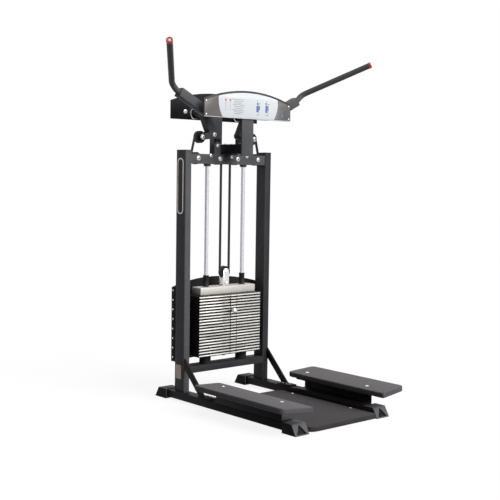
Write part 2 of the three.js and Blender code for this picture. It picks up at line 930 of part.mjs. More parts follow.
// Arched head panels with a bearing ring for each arm shaft

function panelGeometry(width, growth, y0, ringY0, ringY1) {
  const outline = archedOutline(width, panelBottom - half(growth), panelSideTop + growth, panelCrown);
  const rings = [-pivotX, pivotX].map((x) => rodAlongY(bearingRadius, x, pivotZ, ringY0, ringY1));
  const bores = [-pivotX, pivotX].map((x) => rodAlongY(
    shaftRadius + runningFit,
    x,
    pivotZ,
    ringY0 + (ringY0 < y0 ? -overrun : half(panelThickness)),
    ringY1 + (ringY0 < y0 ? -half(panelThickness) : overrun),
  ));
  return cut(join(plateAlongY(outline, y0, y0 + panelThickness), ...rings), ...bores);
}

const frontPanelY = frontPostY - seam - panelThickness;
const frontRingY = frontPanelY + half(panelThickness);
const rearPanelY = rearPostY + postThickness + seam;
const rearRingY = rearPanelY + half(panelThickness);
const frontPanel = panelGeometry(
  frontPanelWidth,
  0,
  frontPanelY,
  frontRingY,
  frontPanelY + panelThickness + bearingDepth,
);
const rearPanel = panelGeometry(
  rearPanelWidth,
  rearPanelGrowth,
  rearPanelY,
  rearPanelY - bearingDepth,
  rearRingY,
);
addPiece(model, 'head_front_panel', frontPanel, 'sign');
addPiece(model, 'head_rear_panel', rearPanel, 'dark');

// Arms: shaft, boom, lever and drum links welded together

const boomRun = new THREE.Vector2(Math.cos(boomAngle), Math.sin(boomAngle));
const boomEnd = new THREE.Vector2(boomEndX, boomEndZ);
const boomPoint = (back, across) => [
  boomEnd.x - boomRun.x * back - boomRun.y * across,
  boomEnd.y - boomRun.y * back + boomRun.x * across,
];

function boomGeometry() {
  const rise = half(boomHeight);
  const [topX, topZ] = boomPoint(0, rise);
  const [lowX, lowZ] = boomPoint(0, -rise);
  const slope = Math.tan(boomAngle);
  const topEdge = (x) => topZ - (topX - x) * slope;
  const lowEdge = (x) => lowZ - (lowX - x) * slope;
  const shape = new THREE.Shape();
  shape.moveTo(topX, topZ);
  shape.lineTo(boomTopBlendX, topEdge(boomTopBlendX));
  shape.quadraticCurveTo(boomTopCurveX, pivotBossRadius, 0, pivotBossRadius);
  shape.absarc(0, 0, pivotBossRadius, Math.PI / 2, (3 * Math.PI) / 2, false);
  shape.lineTo(boomLowerFlatX, -pivotBossRadius);
  shape.quadraticCurveTo(boomLowerCurveX, -pivotBossRadius, boomLowerBlendX, lowEdge(boomLowerBlendX));
  shape.lineTo(lowX, lowZ);
  shape.closePath();
  const body = plateAlongY(shape, boomY - half(boomDepth), boomY + half(boomDepth));
  const socket = new THREE.CylinderGeometry(
    handleRadius + runningFit,
    handleRadius + runningFit,
    handleInsert + runningFit + overrun,
    roundSides,
  );
  const [socketX, socketZ] = boomPoint(half(handleInsert + runningFit - overrun), 0);
  socket.rotateZ(-Math.PI / 2);
  socket.rotateY(-boomAngle);
  return cut(body, socket.translate(socketX, boomY, socketZ));
}

function armGeometry() {
  const shaft = rodAlongY(
    shaftRadius,
    0,
    0,
    frontPanelY + panelThickness + runningFit,
    rearPanelY - runningFit,
  );
  const wide = half(leverWidth);
  const leverFrontY = stackY - half(leverDepth);
  const leverRearY = stackY + half(leverDepth);
  const lever = plateAlongY(
    polygon([
      leverPoint(0, -wide),
      ...leverEnd.map((point) => point.toArray()),
      leverPoint(0, wide),
    ]),
    leverFrontY,
    leverRearY,
  );
  const root = rodAlongY(pivotBossRadius, 0, 0, leverFrontY, leverRearY);
  const links = [leverFrontY - linkPlate, leverRearY - seam].map((y) => plateAlongY(
    taperedLink([toeBoltX, toeBoltZ], linkToeRadius, [drumX, drumZ], linkDrumRadius),
    y,
    y + linkPlate + seam,
  ));
  const frontFace = leverFrontY - linkPlate;
  const rearFace = leverRearY + linkPlate;
  const heads = [[toeBoltX, toeBoltZ], [drumX, drumZ]].flatMap(([x, z]) => [
    rodAlongY(linkBoltRadius, x, z, frontFace - boltHead, leverFrontY, smallSides),
    rodAlongY(linkBoltRadius, x, z, leverRearY, rearFace + boltHead, smallSides),
  ]);
  const axle = rodAlongY(axleRadius, drumX, drumZ, frontFace, rearFace, smallSides);
  const collars = [
    rodAlongY(axleCollarRadius, drumX, drumZ, leverFrontY - seam, pulleyFrontY - runningFit, smallSides),
    rodAlongY(axleCollarRadius, drumX, drumZ, pulleyRearY + runningFit, leverRearY + seam, smallSides),
  ];
  return join(shaft, boomGeometry(), lever, root, ...links, ...heads, axle, ...collars);
}

addPair('arm', armGeometry(), 'frame', [0, 0, 0], armRight, armLeft);
addPair('belt_drum', pulleyGeometry(), 'dark', [drumX, stackY, drumZ], armRight, armLeft);

// Handle tubes, bent forward from the booms, and their ring caps

const tip = new THREE.Vector3(tipX, tipY, tipZ);
const elbow = new THREE.Vector3(elbowX, boomY, elbowZ);
const gripRun = tip.clone().sub(elbow).normalize();
const tubeEnd = tip.clone().addScaledVector(gripRun, -capLength - runningFit);
const onBoomAxis = (back) => {
  const [x, z] = boomPoint(back, 0);
  return new THREE.Vector3(x, boomY, z);
};

function roundedRoute(points, setbacks) {
  const route = new THREE.CurvePath();
  let from = points[0];
  points.slice(1, -1).forEach((corner, i) => {
    const before = points[i].clone().sub(corner).normalize();
    const after = points[i + 2].clone().sub(corner).normalize();
    const start = corner.clone().addScaledVector(before, setbacks[i]);
    const end = corner.clone().addScaledVector(after, setbacks[i]);
    route.add(new THREE.LineCurve3(from, start));
    route.add(new THREE.QuadraticBezierCurve3(start, corner, end));
    from = end;
  });
  route.add(new THREE.LineCurve3(from, points.at(-1)));
  return route;
}

function handleGeometry() {
  const elbowEnd = elbow.clone().addScaledVector(gripRun, elbowBend + overrun);
  const route = roundedRoute(
    [onBoomAxis(handleInsert), onBoomAxis(-mouthRun), elbow, elbowEnd],
    [mouthBend, elbowBend],
  );
  const section = new THREE.Shape();
  section.absarc(0, 0, handleRadius, 0, 2 * Math.PI, false);
  const bend = new THREE.ExtrudeGeometry(section, {
    steps: handleSteps,
    curveSegments: handleSides,
    extrudePath: route,
  });
  const gripStart = elbow.clone().addScaledVector(gripRun, elbowBend);
  const grip = rodBetween(handleRadius, gripStart, tubeEnd);
  const boreEnd = tubeEnd.clone().addScaledVector(gripRun, overrun);
  return cut(join(bend, grip), rodBetween(handleRadius - handleWall, gripStart, boreEnd));
}

function capGeometry() {
  const spigot = handleRadius - handleWall - runningFit;
  const profile = [
    [capHole, -capSpigot],
    [spigot, -capSpigot],
    [spigot, 0],
    [capRadius, 0],
    [capRadius, capLength - runningFit],
    [capRadius - runningFit, capLength],
    [capHole, capLength],
    [capHole, -capSpigot],
  ];
  const cap = new THREE.LatheGeometry(profile.map(([r, y]) => new THREE.Vector2(r, y)), roundSides);
  cap.applyQuaternion(new THREE.Quaternion().setFromUnitVectors(new THREE.Vector3(0, 1, 0), gripRun));
  const seat = tip.clone().addScaledVector(gripRun, -capLength);
  return cap.translate(seat.x, seat.y, seat.z);
}

addPair('handle_tube', handleGeometry(), 'frame', [0, 0, 0], armRight, armLeft);
addPair('handle_cap', capGeometry(), 'red', [0, 0, 0], armRight, armLeft);

// Weight plates: the resting ones as one grooved block, the lifted ones apart

const plateMiddle = (count) => stackBottom + platePitch * count + half(platePitch);
const pinHoleSides = (count) => (count === restingPlates ? smallSides : hiddenSides);
const pinHoleAt = (count) => rodAlongY(
  pinRadius + runningFit,
  0,
  plateMiddle(count),
  stackY - half(plateDepth) - overrun,
  stackY,
  pinHoleSides(count),
);
const columnHoles = (z0, z1) => [
  rodAlongZ(rodHoleRadius, -rodX, stackY, z0 - overrun, z1 + overrun),
  rodAlongZ(rodHoleRadius, rodX, stackY, z0 - overrun, z1 + overrun),
  rodAlongZ(stemRadius + runningFit, 0, stackY, z0 - overrun, z1 + overrun),
];

function plateBlank(bottom) {
  const blank = chamferedBlock(plateWidth, plateDepth, platePitch - plateGap, plateChamfer);
  return blank.translate(0, stackY, bottom);
}

function restingGeometry() {
  const x = half(plateWidth) - plateChamfer;
  const y = half(plateDepth) - plateChamfer;
  const core = boxBetween([-x, stackY - y, stackBottom], [x, stackY + y, restingTop - plateGap]);
  const counts = Array.from({ length: restingPlates }, (_, i) => i);
  const blanks = counts.map((i) => plateBlank(stackBottom + platePitch * i));
  const pinHoles = counts.map((i) => pinHoleAt(i));
  return cut(join(core, ...blanks), ...columnHoles(stackBottom, restingTop), ...pinHoles);
}

addPiece(model, 'weight_plates_resting', restingGeometry(), 'steel');

for (let i = 0; i < liftedPlates; i += 1) {
  const bottom = restingTop + platePitch * i;
  const plate = cut(
    plateBlank(bottom),
    ...columnHoles(bottom, bottom + platePitch),
    pinHoleAt(restingPlates + i),
  );
  addPiece(stack, `weight_plate_${liftedPlates - i}`, plate, 'steel');
}

// Top plate and the sleeves that run on the guide rods

function topPlateGeometry() {
  const block = chamferedBlock(topPlateWidth, topPlateDepth, topPlateHeight, plateChamfer);
  return cut(block.translate(0, stackY, liftedTop), ...columnHoles(liftedTop, topPlateTop));
}

addPiece(stack, 'top_plate', topPlateGeometry(), 'steel');
const sleeveBottom = topPlateTop + seam;
const sleeve = cut(
  rodAlongZ(sleeveRadius, rodX, stackY, sleeveBottom, topPlateTop + sleeveHeight),
  rodAlongZ(rodRadius + runningFit, rodX, stackY, sleeveBottom - overrun, topPlateTop + sleeveHeight + overrun),
);
addPair('rod_sleeve', sleeve, 'dark', [0, 0, 0], stack, stack);

// Pulley bracket with the selector stem below it

function bracketGeometry() {
  const rearY = stackY + stackY - bracketFrontY;
  const x = half(bracketWidth);
  const base = topPlateTop + seam;
  const stem = rodAlongZ(stemRadius, 0, stackY, stackBottom - stemDrop, base + half(bracketBase));
  const floor = boxBetween([-x, bracketFrontY, base], [x, rearY, base + bracketBase]);
  const earYs = [bracketFrontY, rearY - bracketPlate];
  const ears = earYs.flatMap((y) => [
    boxBetween([-x, y, base], [x, y + bracketPlate, movingPulleyZ]),
    rodAlongY(x, 0, movingPulleyZ, y, y + bracketPlate),
  ]);
  const axle = rodAlongY(axleRadius, 0, movingPulleyZ, bracketFrontY, rearY, smallSides);
  const collars = [
    rodAlongY(axleCollarRadius, 0, movingPulleyZ, bracketFrontY, pulleyFrontY - runningFit, smallSides),
    rodAlongY(axleCollarRadius, 0, movingPulleyZ, pulleyRearY + runningFit, rearY, smallSides),
  ];
  const heads = [
    [bracketFrontY - boltHead, bracketFrontY + half(bracketPlate)],
    [rearY - half(bracketPlate), rearY + boltHead],
  ].map(([y0, y1]) => rodAlongY(smallBoltRadius, 0, movingPulleyZ, y0, y1, smallSides));
  const holes = Array.from({ length: restingPlates + liftedPlates }, (_, i) => rodAlongY(
    pinRadius + runningFit,
    0,
    plateMiddle(i),
    stackY - stemRadius - overrun,
    stackY + stemRadius + overrun,
    pinHoleSides(i),
  ));
  return join(cut(stem, ...holes), floor, ...ears, axle, ...collars, ...heads);
}

addPiece(stack, 'pulley_bracket', bracketGeometry(), 'dark');

addPiece(stack, 'moving_pulley', pulleyGeometry(), 'dark', [0, stackY, movingPulleyZ]);

// Selector pin through the lowest lifted plate

const pinZ = plateMiddle(restingPlates);
const pinGeometry = join(
  rodAlongY(pinRadius, 0, pinZ, pinKnobY + half(pinKnobLength), stackY + half(stemRadius), smallSides),
  rodAlongY(pinKnobRadius, 0, pinZ, pinKnobY, pinKnobY + pinKnobLength),
);
addPiece(stack, 'selector_pin', pinGeometry, 'red');

// Flat belt in its rest position

const beltFrontY = stackY - half(beltWidth);
const beltRearY = stackY + half(beltWidth);
const drumWorldX = pivotX + drumX;
const drumWorldZ = pivotZ + drumZ;
const freeRun = new THREE.Vector2(outerPulleyX - drumWorldX, beamPulleyZ - drumWorldZ).normalize();
const freeSide = Math.atan2(freeRun.x, -freeRun.y);
const crossLean = Math.asin((beltRadius + beltRadius) / (outerPulleyX - innerPulleyX));
const loopTopZ = movingPulleyZ + loopRise;

function guideBeltGeometry() {
  const points = [
    ...arcPoints(outerPulleyX, beamPulleyZ, beltRadius, freeSide, -Math.PI / 2 - crossLean),
    ...arcPoints(innerPulleyX, beamPulleyZ, beltRadius, Math.PI / 2 - crossLean, Math.PI),
    new THREE.Vector2(innerPulleyX - beltRadius, loopTopZ + beltSplit),
  ];
  return ribbon(points, beltThickness, beltFrontY, beltRearY);
}

function beltLoopGeometry() {
  const points = [
    new THREE.Vector2(beltRadius, loopTopZ),
    ...arcPoints(0, movingPulleyZ, beltRadius, 0, -Math.PI),
    new THREE.Vector2(-beltRadius, loopTopZ),
  ];
  return ribbon(points, beltThickness, beltFrontY, beltRearY);
}

function beltEndGeometry() {
  const start = new THREE.Vector2(
    outerPulleyX - pivotX + beltRadius * Math.cos(freeSide),
    beamPulleyZ - pivotZ + beltRadius * Math.sin(freeSide),
  ).addScaledVector(freeRun, -beltSplit);
  const points = [start, ...arcPoints(drumX, drumZ, beltRadius, freeSide, freeSide + drumWrap)];
  return ribbon(points, beltThickness, beltFrontY, beltRearY);
}

addPair('belt', guideBeltGeometry(), 'belt');
addPiece(stack, 'belt_loop', beltLoopGeometry(), 'belt');
addPair('belt_end', beltEndGeometry(), 'belt', [0, 0, 0], armRight, armLeft);

// The origin is on the floor, midway between the front and the rear ends
machine.updateMatrixWorld(true);
const bounds = new THREE.Box3().setFromObject(machine, true);
model.position.y = -mean(bounds.min.y, bounds.max.y);

export default machine;
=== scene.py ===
"""Looks of the standing chest fly machine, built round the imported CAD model.

Every size is in metres, in the frame of the CAD model: +Z up, -Y towards the user.
"""

import logging
import math
from dataclasses import dataclass, field, replace
from enum import Enum
from typing import Callable, Iterable, Sequence

import bpy
from mathutils import Matrix, Vector


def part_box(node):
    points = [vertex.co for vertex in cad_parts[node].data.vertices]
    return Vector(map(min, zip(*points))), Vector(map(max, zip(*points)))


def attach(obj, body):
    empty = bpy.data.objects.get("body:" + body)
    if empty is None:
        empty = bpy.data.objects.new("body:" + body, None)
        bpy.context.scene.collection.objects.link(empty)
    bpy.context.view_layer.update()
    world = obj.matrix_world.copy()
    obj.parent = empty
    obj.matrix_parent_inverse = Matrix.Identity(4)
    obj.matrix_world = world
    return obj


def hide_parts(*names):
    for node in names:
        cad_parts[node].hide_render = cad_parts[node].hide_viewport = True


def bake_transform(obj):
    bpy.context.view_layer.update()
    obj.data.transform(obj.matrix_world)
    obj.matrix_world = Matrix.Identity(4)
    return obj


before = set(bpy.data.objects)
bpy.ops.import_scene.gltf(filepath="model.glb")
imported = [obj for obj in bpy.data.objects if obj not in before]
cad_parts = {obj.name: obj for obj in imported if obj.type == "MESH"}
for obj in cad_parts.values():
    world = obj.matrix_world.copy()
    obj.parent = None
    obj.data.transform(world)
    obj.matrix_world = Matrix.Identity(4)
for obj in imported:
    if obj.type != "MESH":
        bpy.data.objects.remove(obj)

Piece = bpy.types.Object
Face = bpy.types.MeshPolygon
Socket = bpy.types.NodeSocket
Point = Sequence[float]
Color = tuple[float, float, float]
Pair = tuple[float, float]
Rings = Sequence[Pair]
Places = tuple[float, tuple[float, ...], float]

LOG = logging.getLogger("chest_fly")
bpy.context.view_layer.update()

# Places that several sub-assemblies share: X of the right side, X and Z of the axles.
UPRIGHT_FACE_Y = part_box("upright_left")[0].y
UPRIGHT_SIDE_X = 0.300
BELT_Y = UPRIGHT_FACE_Y + 0.038
PIVOT_X = 0.150
PIVOT_Z = 1.525
OUTER_AXLE = (0.2084, 1.286)
INNER_AXLE = (0.062, 1.286)
DRUM_AXLE = (PIVOT_X + 0.0315, PIVOT_Z - 0.127)
STACK_AXLE = (0.0, 0.673)

ORIGIN = (0.0, 0.0, 0.0)
# Least part of a face's normal along an axis at which the face lies square to it.
SQUARE = 0.97


class Body(Enum):
    """Bodies of the CAD model that the pieces ride on."""

    FRAME = "frame"
    STACK = "stack"
    LEFT_ARM = "left_arm"
    RIGHT_ARM = "right_arm"
    OUTER_LEFT = "outer_pulley_left"
    INNER_LEFT = "inner_pulley_left"
    INNER_RIGHT = "inner_pulley_right"
    OUTER_RIGHT = "outer_pulley_right"
    STACK_PULLEY = "stack_pulley"
    SELECTOR = "selector"


class Side(Enum):
    """Left or right half of the machine, as the sign of X."""

    LEFT = -1
    RIGHT = 1

    @property
    def word(self) -> str:
        """The side's name as the nodes spell it."""
        return self.name.lower()

    @property
    def arm(self) -> Body:
        """The arm body on this side."""
        return Body.LEFT_ARM if self is Side.LEFT else Body.RIGHT_ARM

    @property
    def outward(self) -> Point:
        """Direction away from the middle."""
        return (float(self.value), 0.0, 0.0)


class Way(Enum):
    """Direction that a turned piece points along."""

    FRONT = (0.0, -1.0, 0.0)
    REAR = (0.0, 1.0, 0.0)
    UP = (0.0, 0.0, 1.0)


# Finishes

# Part of each texture's values that is stretched to its full span.
ROUGH_SPAN = (0.3, 0.7)
PATCH_SPAN = (0.35, 0.65)
SCUFF_SPAN = (0.35, 0.7)
DOME_SPAN = (0.1, 0.6)


@dataclass(frozen=True)
class NodeBoard:
    """Node tree of one material, and what every finish adds to it.

    Attributes:
        tree: The node tree, with its principled shader.
    """

    tree: bpy.types.NodeTree

    def feed(self, socket: Socket, value: Socket | float | Point) -> None:
        """Links an input to another socket, or gives it a plain value.

        Args:
            socket: The input.
            value: Socket to link, or value to set.
        """
        if isinstance(value, Socket):
            self.tree.links.new(value, socket)
        else:
            socket.default_value = value

    def shade(self, name: str, value: Socket | float) -> None:
        """Feeds an input of the principled shader, given by its name."""
        self.feed(self.tree.nodes["Principled BSDF"].inputs[name], value)

    def add(self, kind: str, values: dict[str, Socket | float | Point]) -> bpy.types.Node:
        """Adds a node and feeds its inputs.

        Args:
            kind: Type of the node.
            values: What goes into each input, by name.

        Returns:
            The node.
        """
        node = self.tree.nodes.new(kind)
        for name, value in values.items():
            self.feed(node.inputs[name], value)
        return node

    def coordinates(self) -> Socket:
        """Gives the coordinates of the piece itself."""
        return self.add("ShaderNodeTexCoord", {}).outputs["Object"]

    def noise(self, vector: Socket, scale: float, detail: float) -> Socket:
        """Adds a noise texture.

        Args:
            vector: Coordinates of the noise.
            scale: Scale of the noise.
            detail: Octaves of the noise.

        Returns:
            The noise's factor.
        """
        values = {"Vector": vector, "Scale": scale, "Detail": detail}
        return self.add("ShaderNodeTexNoise", values).outputs["Fac"]

    def spanned(self, factor: Socket, span: Pair, values: Pair) -> Socket:
        """Maps a factor from one span to another.

        Args:
            factor: Value to map.
            span: Lower and upper end of what comes in.
            values: What these ends become.

        Returns:
            The mapped value.
        """
        ends = dict(zip(("From Min", "From Max", "To Min", "To Max"), (*span, *values)))
        return self.add("ShaderNodeMapRange", {"Value": factor, **ends}).outputs["Result"]

    def mixed(self, factor: Socket, first: Color | Socket, second: Color | Socket) -> Socket:
        """Mixes two colours.

        Args:
            factor: Share of the second colour.
            first: Colour or socket at factor 0.
            second: Colour or socket at factor 1.

        Returns:
            The mixed colour.
        """
        node = self.add("ShaderNodeMix", {})
        node.data_type = "RGBA"
        self.feed(node.inputs["Factor"], factor)
        for name, value in (("A", first), ("B", second)):
            socket = next(s for s in node.inputs if s.name == name and s.type == "RGBA")
            self.feed(socket, value if isinstance(value, Socket) else (*value, 1.0))
        return next(s for s in node.outputs if s.type == "RGBA")


@dataclass(frozen=True)
class Finish:
    """A procedural surface: a base colour broken up by grain and mottling.

    Attributes:
        name: Name of the material.
        color: Linear base colour.
        shade: Linear colour that the mottling leans to.
        slot: Material slot of the record; not used.
        roughness: Middle roughness.
        spread: How far the roughness strays to each side.
        metallic: Metalness.
        grain: Grains in a metre.
        bump: Height of the grain in metres.
        mottle: Patches in a metre.
        specular: Specular level.
        coat: Weight of the clear coat.
        coat_roughness: Roughness of the clear coat.
    """

    name: str
    color: Color
    shade: Color
    slot: str
    roughness: float = 0.5
    spread: float = 0.05
    metallic: float = 0.0
    grain: float = 900.0
    bump: float = 0.00004
    mottle: float = 9.0
    specular: float = 0.5
    coat: float = 0.0
    coat_roughness: float = 0.12

    def material(self) -> bpy.types.Material:
        """Builds the material once and returns it."""
        found = bpy.data.materials.get(self.name)
        if found is not None:
            return found
        material = bpy.data.materials.new(self.name)
        material.use_nodes = True
        material.diffuse_color = (*self.color, 1.0)
        board = NodeBoard(material.node_tree)
        board.shade("Metallic", self.metallic)
        board.shade("Specular IOR Level", self.specular)
        board.shade("Coat Weight", self.coat)
        board.shade("Coat Roughness", self.coat_roughness)
        self.dress(board)
        return material

    def vector(self, board: NodeBoard) -> Socket:
        """Gives the coordinates that the grain follows."""
        return board.coordinates()

    def show(self, board: NodeBoard, color: Socket, rough: Socket, height: Socket) -> None:
        """Feeds colour, roughness and bump to the shader.

        Args:
            board: Nodes of the material.
            color: The finished colour.
            rough: Factor that the roughness follows.
            height: Factor that the bump follows.
        """
        values = (self.roughness - self.spread, self.roughness + self.spread)
        board.shade("Base Color", color)
        board.shade("Roughness", board.spanned(rough, ROUGH_SPAN, values))
        bump = board.add("ShaderNodeBump", {"Distance": self.bump, "Height": height})
        board.shade("Normal", bump.outputs["Normal"])

    def dress(self, board: NodeBoard) -> None:
        """Links grain, mottling and roughness to the shader.

        Args:
            board: Nodes of the material.
        """
        vector = self.vector(board)
        grain = board.noise(vector, self.grain, 3.0)
        patches = board.noise(vector, self.mottle, 5.0)
        share = board.spanned(patches, PATCH_SPAN, (0.0, 1.0))
        self.show(board, board.mixed(share, self.color, self.shade), grain, grain)


@dataclass(frozen=True)
class CoatFinish(Finish):
    """A powder coat with a fine, dull grain."""

    roughness: float = 0.46
    grain: float = 1300.0
    bump: float = 0.00005
    specular: float = 0.07


@dataclass(frozen=True)
class PrintFinish(Finish):
    """Print on the sign, almost without grain."""

    slot: str = "sign_panel"
    roughness: float = 0.40
    bump: float = 0.00001


@dataclass(frozen=True)
class BrushedFinish(Finish):
    """Metal with fine marks that run along one axis.

    Attributes:
        stretch: Scale of the marks along X, Y and Z.
    """

    stretch: tuple[float, float, float] = (4.0, 400.0, 400.0)

    def vector(self, board: NodeBoard) -> Socket:
        """Gives stretched coordinates, so that the grain becomes long marks."""
        values = {"Scale": self.stretch, "Vector": board.coordinates()}
        return board.add("ShaderNodeMapping", values).outputs["Vector"]


@dataclass(frozen=True)
class PebbleFinish(Finish):
    """A moulded anti-slip skin of small round pebbles.

    Attributes:
        pebbles: Pebbles in a metre.
        gap: Tone of the painted shade in the gaps between the pebbles, as a share of the colour.
    """

    pebbles: float = 420.0
    gap: float = 0.72

    def dress(self, board: NodeBoard) -> None:
        """Links pebbles, scuffs and roughness to the shader.

        Args:
            board: Nodes of the material.
        """
        vector = self.vector(board)
        cells = board.add("ShaderNodeTexVoronoi", {"Scale": self.pebbles, "Vector": vector})
        cells.feature = "SMOOTH_F1"
        domes = board.spanned(cells.outputs["Distance"], DOME_SPAN, (1.0, 0.0))
        scuffs = board.noise(vector, self.mottle, 8.0)
        share = board.spanned(scuffs, SCUFF_SPAN, (0.0, 1.0))
        patchy = board.mixed(share, self.color, self.shade)
        # The gaps between the pebbles are painted darker as shade.
        dark = tuple(self.gap * c for c in self.color)
        self.show(board, board.mixed(domes, dark, patchy), scuffs, domes)


@dataclass(frozen=True)
class WeaveFinish(Finish):
    """A flat belt's woven skin: ribs across its length.

    Attributes:
        ribs: Ribs in a metre.
        waver: How far the ribs stray from straight.
    """

    ribs: float = 260.0
    waver: float = 0.6

    def dress(self, board: NodeBoard) -> None:
        """Links ribs and fibres to the shader.

        Args:
            board: Nodes of the material.
        """
        vector = self.vector(board)
        values = {"Scale": self.ribs, "Distortion": self.waver, "Vector": vector}
        waves = board.add("ShaderNodeTexWave", values)
        waves.bands_direction = "Y"
        fibres = board.noise(vector, self.grain, 4.0)
        ribs = waves.outputs["Fac"]
        self.show(board, board.mixed(ribs, self.shade, self.color), fibres, ribs)


CHARCOAL = CoatFinish(
    "charcoal_coat", (0.092, 0.093, 0.100), (0.080, 0.081, 0.087), "frame_paint"
)
# Darker frame coat: the lower crossbar's coat, and painted shade on the right upright's front
# face.
DARK_COAT_AND_SHADE = CoatFinish(
    "dark_coat_and_shade", (0.034, 0.034, 0.036), (0.028, 0.028, 0.030), "frame_paint"
)
BLACK_COAT = CoatFinish(
    "black_coat", (0.016, 0.016, 0.017), (0.012, 0.012, 0.013), "runner_paint", specular=0.05
)
# Black rubber of stops and bumpers, and painted shade on the feet's sides and pocket floors.
RUBBER_AND_FOOT_SHADE = Finish(
    "moulded_rubber", (0.012, 0.012, 0.013), (0.018, 0.018, 0.019), "black_rubber",
    roughness=0.66, spread=0.08, grain=1600.0, bump=0.00008, specular=0.08,
)
# Paler copy of the feet's rubber, painted light on their tops and sloped ends.
LIT_FOOT_RUBBER = Finish(
    "foot_rubber", (0.110, 0.111, 0.122), (0.088, 0.089, 0.098), "black_rubber",
    roughness=0.60, spread=0.08, grain=1600.0, bump=0.00008, specular=0.08,
)
NYLON = Finish(
    "black_nylon", (0.012, 0.012, 0.013), (0.016, 0.016, 0.017), "black_plastic",
    roughness=0.46, grain=2200.0, specular=0.14,
)
CHROME = BrushedFinish(
    "polished_chrome", (0.66, 0.66, 0.71), (0.62, 0.62, 0.68), "chrome_rod",
    roughness=0.24, spread=0.015, metallic=0.5, bump=0.0000005, grain=20.0,
    stretch=(2.0, 2.0, 0.2),
)
BOLT_STEEL = Finish(
    "zinc_bolt", (0.80, 0.80, 0.81), (0.70, 0.70, 0.72), "chrome_rod",
    roughness=0.36, spread=0.08, metallic=0.9, mottle=160.0, bump=0.00001,
)
PLATE_STEEL = BrushedFinish(
    "machined_plate", (0.78, 0.76, 0.72), (0.64, 0.62, 0.59), "plate_steel",
    roughness=0.44, spread=0.06, metallic=0.5, bump=0.000004, grain=90.0, mottle=2.0,
    stretch=(2.0, 40.0, 40.0),
)
TOP_STEEL = Finish(
    "blasted_steel", (0.54, 0.52, 0.49), (0.43, 0.415, 0.39), "plate_steel",
    roughness=0.52, spread=0.10, metallic=0.35, grain=700.0, bump=0.00003, mottle=260.0,
    specular=0.3,
)
# Near-black finish: painted shade on the plates' sides, bevels and joints, and the dark ticks.
PLATE_SHADE_AND_TICKS = Finish(
    "plate_edge", (0.020, 0.019, 0.018), (0.012, 0.012, 0.011), "plate_steel",
    roughness=0.55, mottle=30.0, specular=0.05,
)
STEP_SKIN = PebbleFinish(
    "step_skin", (0.150, 0.143, 0.146), (0.184, 0.176, 0.178), "step_top",
    roughness=0.74, spread=0.08, bump=0.00025, mottle=14.0, specular=0.12,
)
# The boards' pebble skin painted far darker: painted shade of the boards and frame over the low
# platform.
SHADED_PLATFORM_SKIN = PebbleFinish(
    "platform_skin", (0.066, 0.062, 0.063), (0.096, 0.090, 0.091), "step_top",
    roughness=0.74, spread=0.08, bump=0.00025, mottle=5.0, specular=0.08,
)
PLATFORM_EDGE = Finish(
    "platform_edge", (0.040, 0.038, 0.038), (0.032, 0.031, 0.031), "step_top",
    roughness=0.55, specular=0.06, grain=1100.0, mottle=18.0,
)
STEP_EDGE = Finish(
    "step_edge", (0.090, 0.090, 0.099), (0.074, 0.074, 0.082), "step_top",
    roughness=0.55, specular=0.06, grain=1100.0, mottle=18.0,
)
RED = Finish(
    "red_cap", (0.42, 0.008, 0.018), (0.34, 0.006, 0.014), "red_cap",
    roughness=0.26, spread=0.05, bump=0.00001, coat=0.5,
)
BELT = WeaveFinish(
    "belt_weave", (0.016, 0.016, 0.017), (0.007, 0.007, 0.008), "belt_fabric",
    roughness=0.62, spread=0.08, bump=0.00015,
)
SIGN_WHITE = PrintFinish(
    "sign_white", (0.68, 0.71, 0.74), (0.63, 0.665, 0.70), spread=0.04, mottle=4.0, specular=0.2
)
SIGN_TAUPE = PrintFinish(
    "sign_taupe", (0.098, 0.088, 0.080), (0.084, 0.075, 0.068), spread=0.04, mottle=4.0, coat=0.1
)
SIGN_GREY = PrintFinish("sign_grey", (0.30, 0.32, 0.35), (0.26, 0.28, 0.31))
SIGN_BLUE = PrintFinish("sign_blue", (0.07, 0.19, 0.50), (0.05, 0.16, 0.44))
SIGN_RED = PrintFinish("sign_red", (0.55, 0.10, 0.09), (0.48, 0.08, 0.07))
SIGN_DARK = PrintFinish(
    "sign_dark", (0.045, 0.047, 0.055), (0.034, 0.036, 0.044), bump=0.00004
)
SIGN_RIM = PrintFinish(
    "sign_rim", (0.034, 0.032, 0.031), (0.028, 0.027, 0.026), specular=0.2, bump=0.00002
)
BRACKET_STEEL = BrushedFinish(
    "bracket_steel", (0.80, 0.80, 0.80), (0.70, 0.70, 0.71), "bracket_paint",
    roughness=0.28, spread=0.08, metallic=1.0, bump=0.00001, mottle=20.0,
    stretch=(500.0, 500.0, 12.0),
)
# Pale finish of the plate labels and handle plugs, and of the painted highlight along the sign's
# lower edge.
PALE_LABEL_AND_HIGHLIGHT = Finish(
    "pale_label_and_highlight", (0.66, 0.66, 0.65), (0.58, 0.58, 0.57), "sign_panel", roughness=0.5, mottle=40.0
)
BADGE_BEIGE = Finish(
    "badge_beige", (0.60, 0.54, 0.46), (0.52, 0.47, 0.40), "sign_panel",
    roughness=0.42, metallic=0.85, mottle=30.0,
)
PLATE_BEIGE = Finish(
    "plate_beige", (0.24, 0.195, 0.16), (0.18, 0.15, 0.125), "sign_panel",
    roughness=0.45, metallic=0.7, mottle=40.0,
)


# Work on meshes


def clear_selection() -> None:
    """Deselects every object."""
    bpy.ops.object.select_all(action="DESELECT")


def pick(piece: Piece) -> None:
    """Makes one object the only selected and the active one."""
    clear_selection()
    piece.select_set(True)
    bpy.context.view_layer.objects.active = piece


def named(name: str) -> Piece:
    """Names the active object and its data, and returns it.

    Args:
        name: Its new name.

    Returns:
        The object.
    """
    piece = bpy.context.object
    piece.name = name
    piece.data.name = name
    return piece


